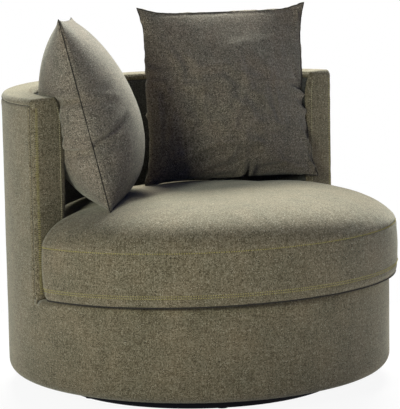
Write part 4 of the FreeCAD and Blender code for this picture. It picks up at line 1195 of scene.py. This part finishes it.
# Each fold: its face (-1 is the front), where it starts at the seam and where it ends, its depth,
# its width and its ridge.
BACK_CREASES = (
    (-1, (0.90, -0.08), (0.62, 0.02), 12 * MM, 7 * MM, 11 * MM),
    (-1, (0.88, -0.26), (0.72, -0.14), 9 * MM, 6 * MM, 8 * MM),
    (-1, (0.90, -0.70), (0.76, -0.40), 12 * MM, 7 * MM, 11 * MM),
    (-1, (0.94, -0.92), (0.82, -0.70), 10 * MM, 6 * MM, 9 * MM),
    (-1, (0.07, -0.95), (0.05, -0.62), 9 * MM, 7 * MM, 4 * MM),
    (-1, (0.14, -0.95), (0.16, -0.80), 8 * MM, 6 * MM, 3 * MM),
    (-1, (-0.52, -0.95), (-0.50, -0.78), 7 * MM, 6 * MM, 3 * MM),
    (-1, (0.93, 0.93), (0.80, 0.60), 6 * MM, 8 * MM, 4 * MM),
    (-1, (-0.93, 0.30), (-0.78, 0.24), 5 * MM, 8 * MM, 3 * MM),
    (1, (-0.93, -0.20), (-0.60, -0.10), 7 * MM, 9 * MM, 4 * MM),
    (1, (0.93, 0.30), (0.60, 0.20), 7 * MM, 9 * MM, 4 * MM),
)
ARM_CREASES = (
    (1, (-0.97, 0.17), (-0.30, 0.30), 18 * MM, 9 * MM, 12 * MM),
    (1, (-0.97, -0.36), (-0.50, -0.26), 14 * MM, 8 * MM, 11 * MM),
    (-1, (-0.97, -0.30), (-0.56, -0.12), 15 * MM, 8 * MM, 10 * MM),
    (-1, (-0.97, 0.12), (-0.62, 0.04), 7 * MM, 10 * MM, 5 * MM),
    (-1, (0.93, -0.10), (0.60, 0.05), 7 * MM, 9 * MM, 5 * MM),
    (-1, (0.20, -0.93), (0.16, -0.70), 7 * MM, 8 * MM, 4 * MM),
)


# Photograph's view

CAMERA_DISTANCE = 5.52
CAMERA_HEIGHT = 1.284
CAMERA_AZIMUTH = math.radians(-38.76)
CAMERA_YAW = math.radians(-38.839)
CAMERA_PITCH = math.radians(8.886)
CAMERA_ROLL = math.radians(-1.041)
CAMERA_LENS = 204.47


def photograph_camera():
    """The camera at the photograph's place, worked out from the circles of the drum and the rim."""
    lens = bpy.data.cameras.new("photograph_view")
    lens.lens = CAMERA_LENS
    lens.clip_end = 60
    camera = bpy.data.objects.new("photograph_view", lens)
    bpy.context.scene.collection.objects.link(camera)
    back = Vector((math.sin(CAMERA_AZIMUTH), -math.cos(CAMERA_AZIMUTH), 0)) * CAMERA_DISTANCE
    place = AXIS + back + Vector((0, 0, CAMERA_HEIGHT))
    level = math.cos(CAMERA_PITCH)
    forward = Vector((-math.sin(CAMERA_YAW), math.cos(CAMERA_YAW), 0))
    ahead = forward * level - Vector((0, 0, math.sin(CAMERA_PITCH)))
    right = Vector((math.cos(CAMERA_YAW), math.sin(CAMERA_YAW), 0))
    up = right.cross(ahead)
    rolled_right = right * math.cos(CAMERA_ROLL) + up * math.sin(CAMERA_ROLL)
    rolled_up = up * math.cos(CAMERA_ROLL) - right * math.sin(CAMERA_ROLL)
    turn = Matrix((rolled_right, rolled_up, -ahead)).transposed().to_4x4()
    camera.matrix_world = Matrix.Translation(place) @ turn
    bpy.context.scene.camera = camera


# Each softbox: metres to the right of the chair, behind it and up as the camera sees it, its width
# and height, its watts and its colour.
SOFTBOXES = (
    ("back_right_softbox", 0.9, 2.5, 2.9, 1.2, 1.2, 200, "#FFFEF6"),
    ("back_left_softbox", -0.4, 2.3, 3.1, 1.2, 1.2, 180, "#FFFEF6"),
    ("left_softbox", -3.2, -2.2, 1.8, 1.2, 1.4, 5, "#FFFFFF"),
    ("key_softbox", -2.05, -3.6, 1.6, 0.9, 0.9, 86, "#FEFFEE"),
)
AIM_HEIGHT = 0.45
# The room's own light is faint and blue, so that deep shade leans to navy.
DIM_LIGHT = "#3664F0"
DIM_STRENGTH = 0.12


def softbox(name, right, ahead, height, width, tall, watts, hex_code):
    """A softbox that faces the chair."""
    lamp = bpy.data.lights.new(name, "AREA")
    lamp.shape = "RECTANGLE"
    lamp.size = width
    lamp.size_y = tall
    lamp.energy = watts
    lamp.color = colour(hex_code)[:3]
    box = bpy.data.objects.new(name, lamp)
    bpy.context.scene.collection.objects.link(box)
    sideways = Vector((math.cos(CAMERA_YAW), math.sin(CAMERA_YAW), 0))
    away = Vector((-math.sin(CAMERA_YAW), math.cos(CAMERA_YAW), 0))
    box.location = sideways * right + away * ahead + Vector((0, 0, height))
    box.rotation_mode = "QUATERNION"
    box.rotation_quaternion = (Vector((0, 0, AIM_HEIGHT)) - box.location).to_track_quat("-Z", "Y")


def white_to_the_eye(tree):
    """1 for a ray from the camera, a mirror or glass, and 0 for a ray that lights something."""
    path = add_node(tree, "ShaderNodeLightPath").outputs
    seen = {0: path["Is Camera Ray"], 1: path["Is Glossy Ray"]}
    seen = {0: add_node(tree, MATH, seen, operation="ADD"), 1: path["Is Transmission Ray"]}
    return add_node(tree, MATH, seen, operation="ADD", use_clamp=True)


FLOOR_HALF = 14
# The floor looks wholly white from the second distance out, and a little darker inside the first.
FLOOR_SHADE_START = 0.52
FLOOR_SHADE_END = 1.0
FLOOR_WHITE = 0.92


def studio():
    """A pale floor under soft lamps, with a white background for the camera and in reflections."""
    scene = bpy.context.scene
    scene.view_settings.view_transform = "Standard"
    for lamp in SOFTBOXES:
        softbox(*lamp)
    world = bpy.data.worlds.new("studio_world")
    world.use_nodes = True
    scene.world = world
    tree = world.node_tree
    seen = white_to_the_eye(tree)
    blue = {"Color": colour(DIM_LIGHT), "Strength": DIM_STRENGTH}
    dim = add_node(tree, "ShaderNodeBackground", blue)
    white = add_node(tree, "ShaderNodeBackground", {"Color": (1, 1, 1, 1), "Strength": 1.0})
    both = add_node(tree, "ShaderNodeMixShader", {0: seen, 1: dim, 2: white})
    tree.links.new(both.outputs[0], tree.nodes["World Output"].inputs["Surface"])

    material, tree, shader = new_material("matt_white_studio_paper", {
        "Base Color": colour("#F2F2F2"), "Roughness": 0.95,
    })
    place = add_node(tree, "ShaderNodeTexCoord").outputs["Object"]
    far = add_node(tree, "ShaderNodeVectorMath", {0: place}, operation="LENGTH").outputs["Value"]
    reach = FLOOR_SHADE_END - FLOOR_SHADE_START
    outward = {0: far, 1: 1 / reach, 2: -FLOOR_SHADE_START / reach}
    fade = add_node(tree, MATH, outward, operation="MULTIPLY_ADD", use_clamp=True)
    paler = {0: fade, 1: 1 - FLOOR_WHITE, 2: FLOOR_WHITE}
    eased = add_node(tree, MATH, paler, operation="MULTIPLY_ADD")
    share = add_node(tree, MATH, {0: eased, 1: white_to_the_eye(tree)}, operation="MULTIPLY")
    glow = add_node(tree, "ShaderNodeEmission", {"Color": (1, 1, 1, 1), "Strength": 1.0})
    both = add_node(tree, "ShaderNodeMixShader", {0: share, 1: shader, 2: glow})
    tree.links.new(both.outputs[0], tree.nodes["Material Output"].inputs["Surface"])
    signs = ((-1, -1), (1, -1), (1, 1), (-1, 1))
    corners = [(side * FLOOR_HALF, end * FLOOR_HALF, 0) for side, end in signs]
    new_piece("studio_floor", corners, [(0, 1, 2, 3)], material)


def finish_frame_pieces():
    """Gives each carried-over piece of the frame the finish of its real material."""
    finishes = {
        # Cut open-cell foam: pale cream, dry and pitted.
        "foam": mottled_finish("cut_polyurethane_foam", "#E3DCC0", 0.97, 2 * MM),
        # Carded fibre: white and cloudy, with no gloss.
        "wadding": mottled_finish("carded_polyester_fibre", "#ECEBE6", 0.98, 6 * MM),
        # Planed pine: honey colour with darker growth lines 3 mm apart.
        "frame_timber": grained_timber("planed_pine", "#D0AC78", "#A97F4C", 3 * MM, 90 * MM),
        # Sanded birch plywood: paler and quieter than pine, with a wide flame in its face.
        "plywood": grained_timber("sanded_birch_plywood", "#D8BF94", "#C3A173", 14 * MM, 120 * MM),
        # Woven elastic webbing: black rubber and polyester, dull, with a 1.5 mm weave.
        "webbing": mottled_finish("woven_elastic_webbing", "#2C2B28", 0.85, 1.5 * MM),
        # Spunbond lining: thin black felt-like cloth.
        "lining_cloth": mottled_finish("spunbond_lining", "#1B1B1C", 0.95, 1.5 * MM),
        # Zinc plated steel: blue-grey metal with a soft gloss.
        "swivel_steel": mottled_finish("zinc_plated_steel", "#B9BCC0", 0.36, 6 * MM, 0.05, 1.0),
        # Moulded nylon: off-white and slightly waxy.
        "cage_plastic": mottled_finish("moulded_natural_nylon", "#D9D8D0", 0.5, 2 * MM, 0.04),
        # Moulded polyethylene glides: black, with a low gloss.
        "glide_plastic": mottled_finish(
            "moulded_black_polyethylene", "#0E0E12", 0.6, 2 * MM, 0.05, gloss=0.2
        ),
        # Woven zip tape: taupe, matt, with a 1 mm weave.
        "zip_tape": mottled_finish("woven_zip_tape", "#5B553F", 0.85, 1.2 * MM),
    }
    slots = {part["node"]: part["material_slot"] for part in frame["record"]["subparts"]}
    for name, node in frame["nodes"].items():
        if slots[name] in finishes:
            node.data.materials.clear()
            node.data.materials.append(finishes[slots[name]])


photograph_camera()
studio()
finish_frame_pieces()

tub_cloth = heathered_weave("heathered_flat_weave_tub", tub_threads, TUB_YARNS, "#8A6A4A")
# The inside of the wall is the same cloth with darker, colder yarns: painted shade for the deep shade that falls
# inside the wall.
inside_painted_shade_cloth = heathered_weave("heathered_flat_weave_inside_painted_shade", tub_threads, INSIDE_PAINTED_SHADE_YARNS, "#565450")
pillow_cloth = heathered_weave(
    "heathered_flat_weave_pillow", pillow_threads, PILLOW_YARNS, "#8A6250"
)
# Polyester topstitching thread: olive yellow, a little glossier than the cloth.
stitch_thread = mottled_finish("polyester_topstitching_thread", "#A29A54", 0.7, 2 * MM, 0.2)
# The same thread in a paler shade, for the arms' inner seams.
pale_thread = mottled_finish("pale_topstitching_thread", "#A8A282", 0.7, 2 * MM, 0.15)
# The bottom of a tight seam, where dark fibre and shade meet, painted almost black brown: mostly painted shade.
seam_painted_shade = mottled_finish("tight_seam_painted_shade", "#1E1B15", 0.9, 2 * MM, 0.2)

# Satin black lacquer on the plinth: nearly black with a cold tint, and hardly a reflection.
band = plinth_band(mottled_finish("black_satin_lacquer", "#05060E", 0.6, 0.8 * MM, 0.1, gloss=0.1))
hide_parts("plinth_ring")
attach(band, "base")

boxing = wall_boxing(tub_cloth)
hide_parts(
    "rim_cover", "arm_cover_left", "arm_cover_right",
    "rim_foam", "arm_foam_left", "arm_foam_right",
)
lining = inner_wall(inside_painted_shade_cloth)
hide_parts("inner_cover", "inner_wall_foam")
drum = drum_cover(tub_cloth)
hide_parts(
    "outer_cover", "front_cover", "front_edge_cover",
    "outer_wall_foam", "front_wall_foam", "front_edge_foam",
)
cushion = seat_cushion(tub_cloth)
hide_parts("seat_cushion_cover", "seat_cushion_wadding", "seat_cushion_foam")
seat = surface_of(cushion)

back_pillow = pillow_cover(
    "back_pillow", pillow_cloth, (104 * MM, 104 * MM), BACK_SHAPE,
    pillow_matrix(setback=236 * MM, around=60.6, rise=208 * MM, yaw=-21, lean=-12.5, roll=0.3),
)
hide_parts("back_pillow_cover", "back_pillow_filling")
arm_pillow = pillow_cover(
    "arm_pillow", pillow_cloth, (114 * MM, 118 * MM), ARM_SHAPE,
    pillow_matrix(setback=204 * MM, around=-65, rise=198 * MM, yaw=51.5, lean=-13.8, roll=3.8),
)
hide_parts("arm_pillow_cover", "arm_pillow_filling")
pillows = ((back_pillow, BACK_SHAPE, BACK_CREASES), (arm_pillow, ARM_SHAPE, ARM_CREASES))
for pillow, shape, creases in pillows:
    edges = pillow_edges(shape)
    for crease in creases:
        press_crease(pillow, *crease)
    press_line(
        pillow, edges, depth=1.5 * MM, width=1.6 * MM, puff=1.0 * MM, puff_place=6 * MM, spread=2.0
    )
    rest_pillow(pillow, seat)
    place = pillow.matrix_world
    lines = [[place @ (point * CORD_PLACE) for point in line] for line in edges]
    # A near-black cord along the pillow's seams: painted shade of the seam line.
    cord = seam_shade_cord(pillow.name + "_seam", lines, PILLOW_CORD, seam_painted_shade)
    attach(cord, "tub")

sewing = arm_stitching(stitch_thread, pale_thread) + cushion_stitching(seat, stitch_thread)
sewing += [wall_seam_shades(seam_painted_shade), foot_seam_shade(seam_painted_shade)]
for piece in [boxing, lining, drum, cushion, back_pillow, arm_pillow] + sewing:
    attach(piece, "tub")
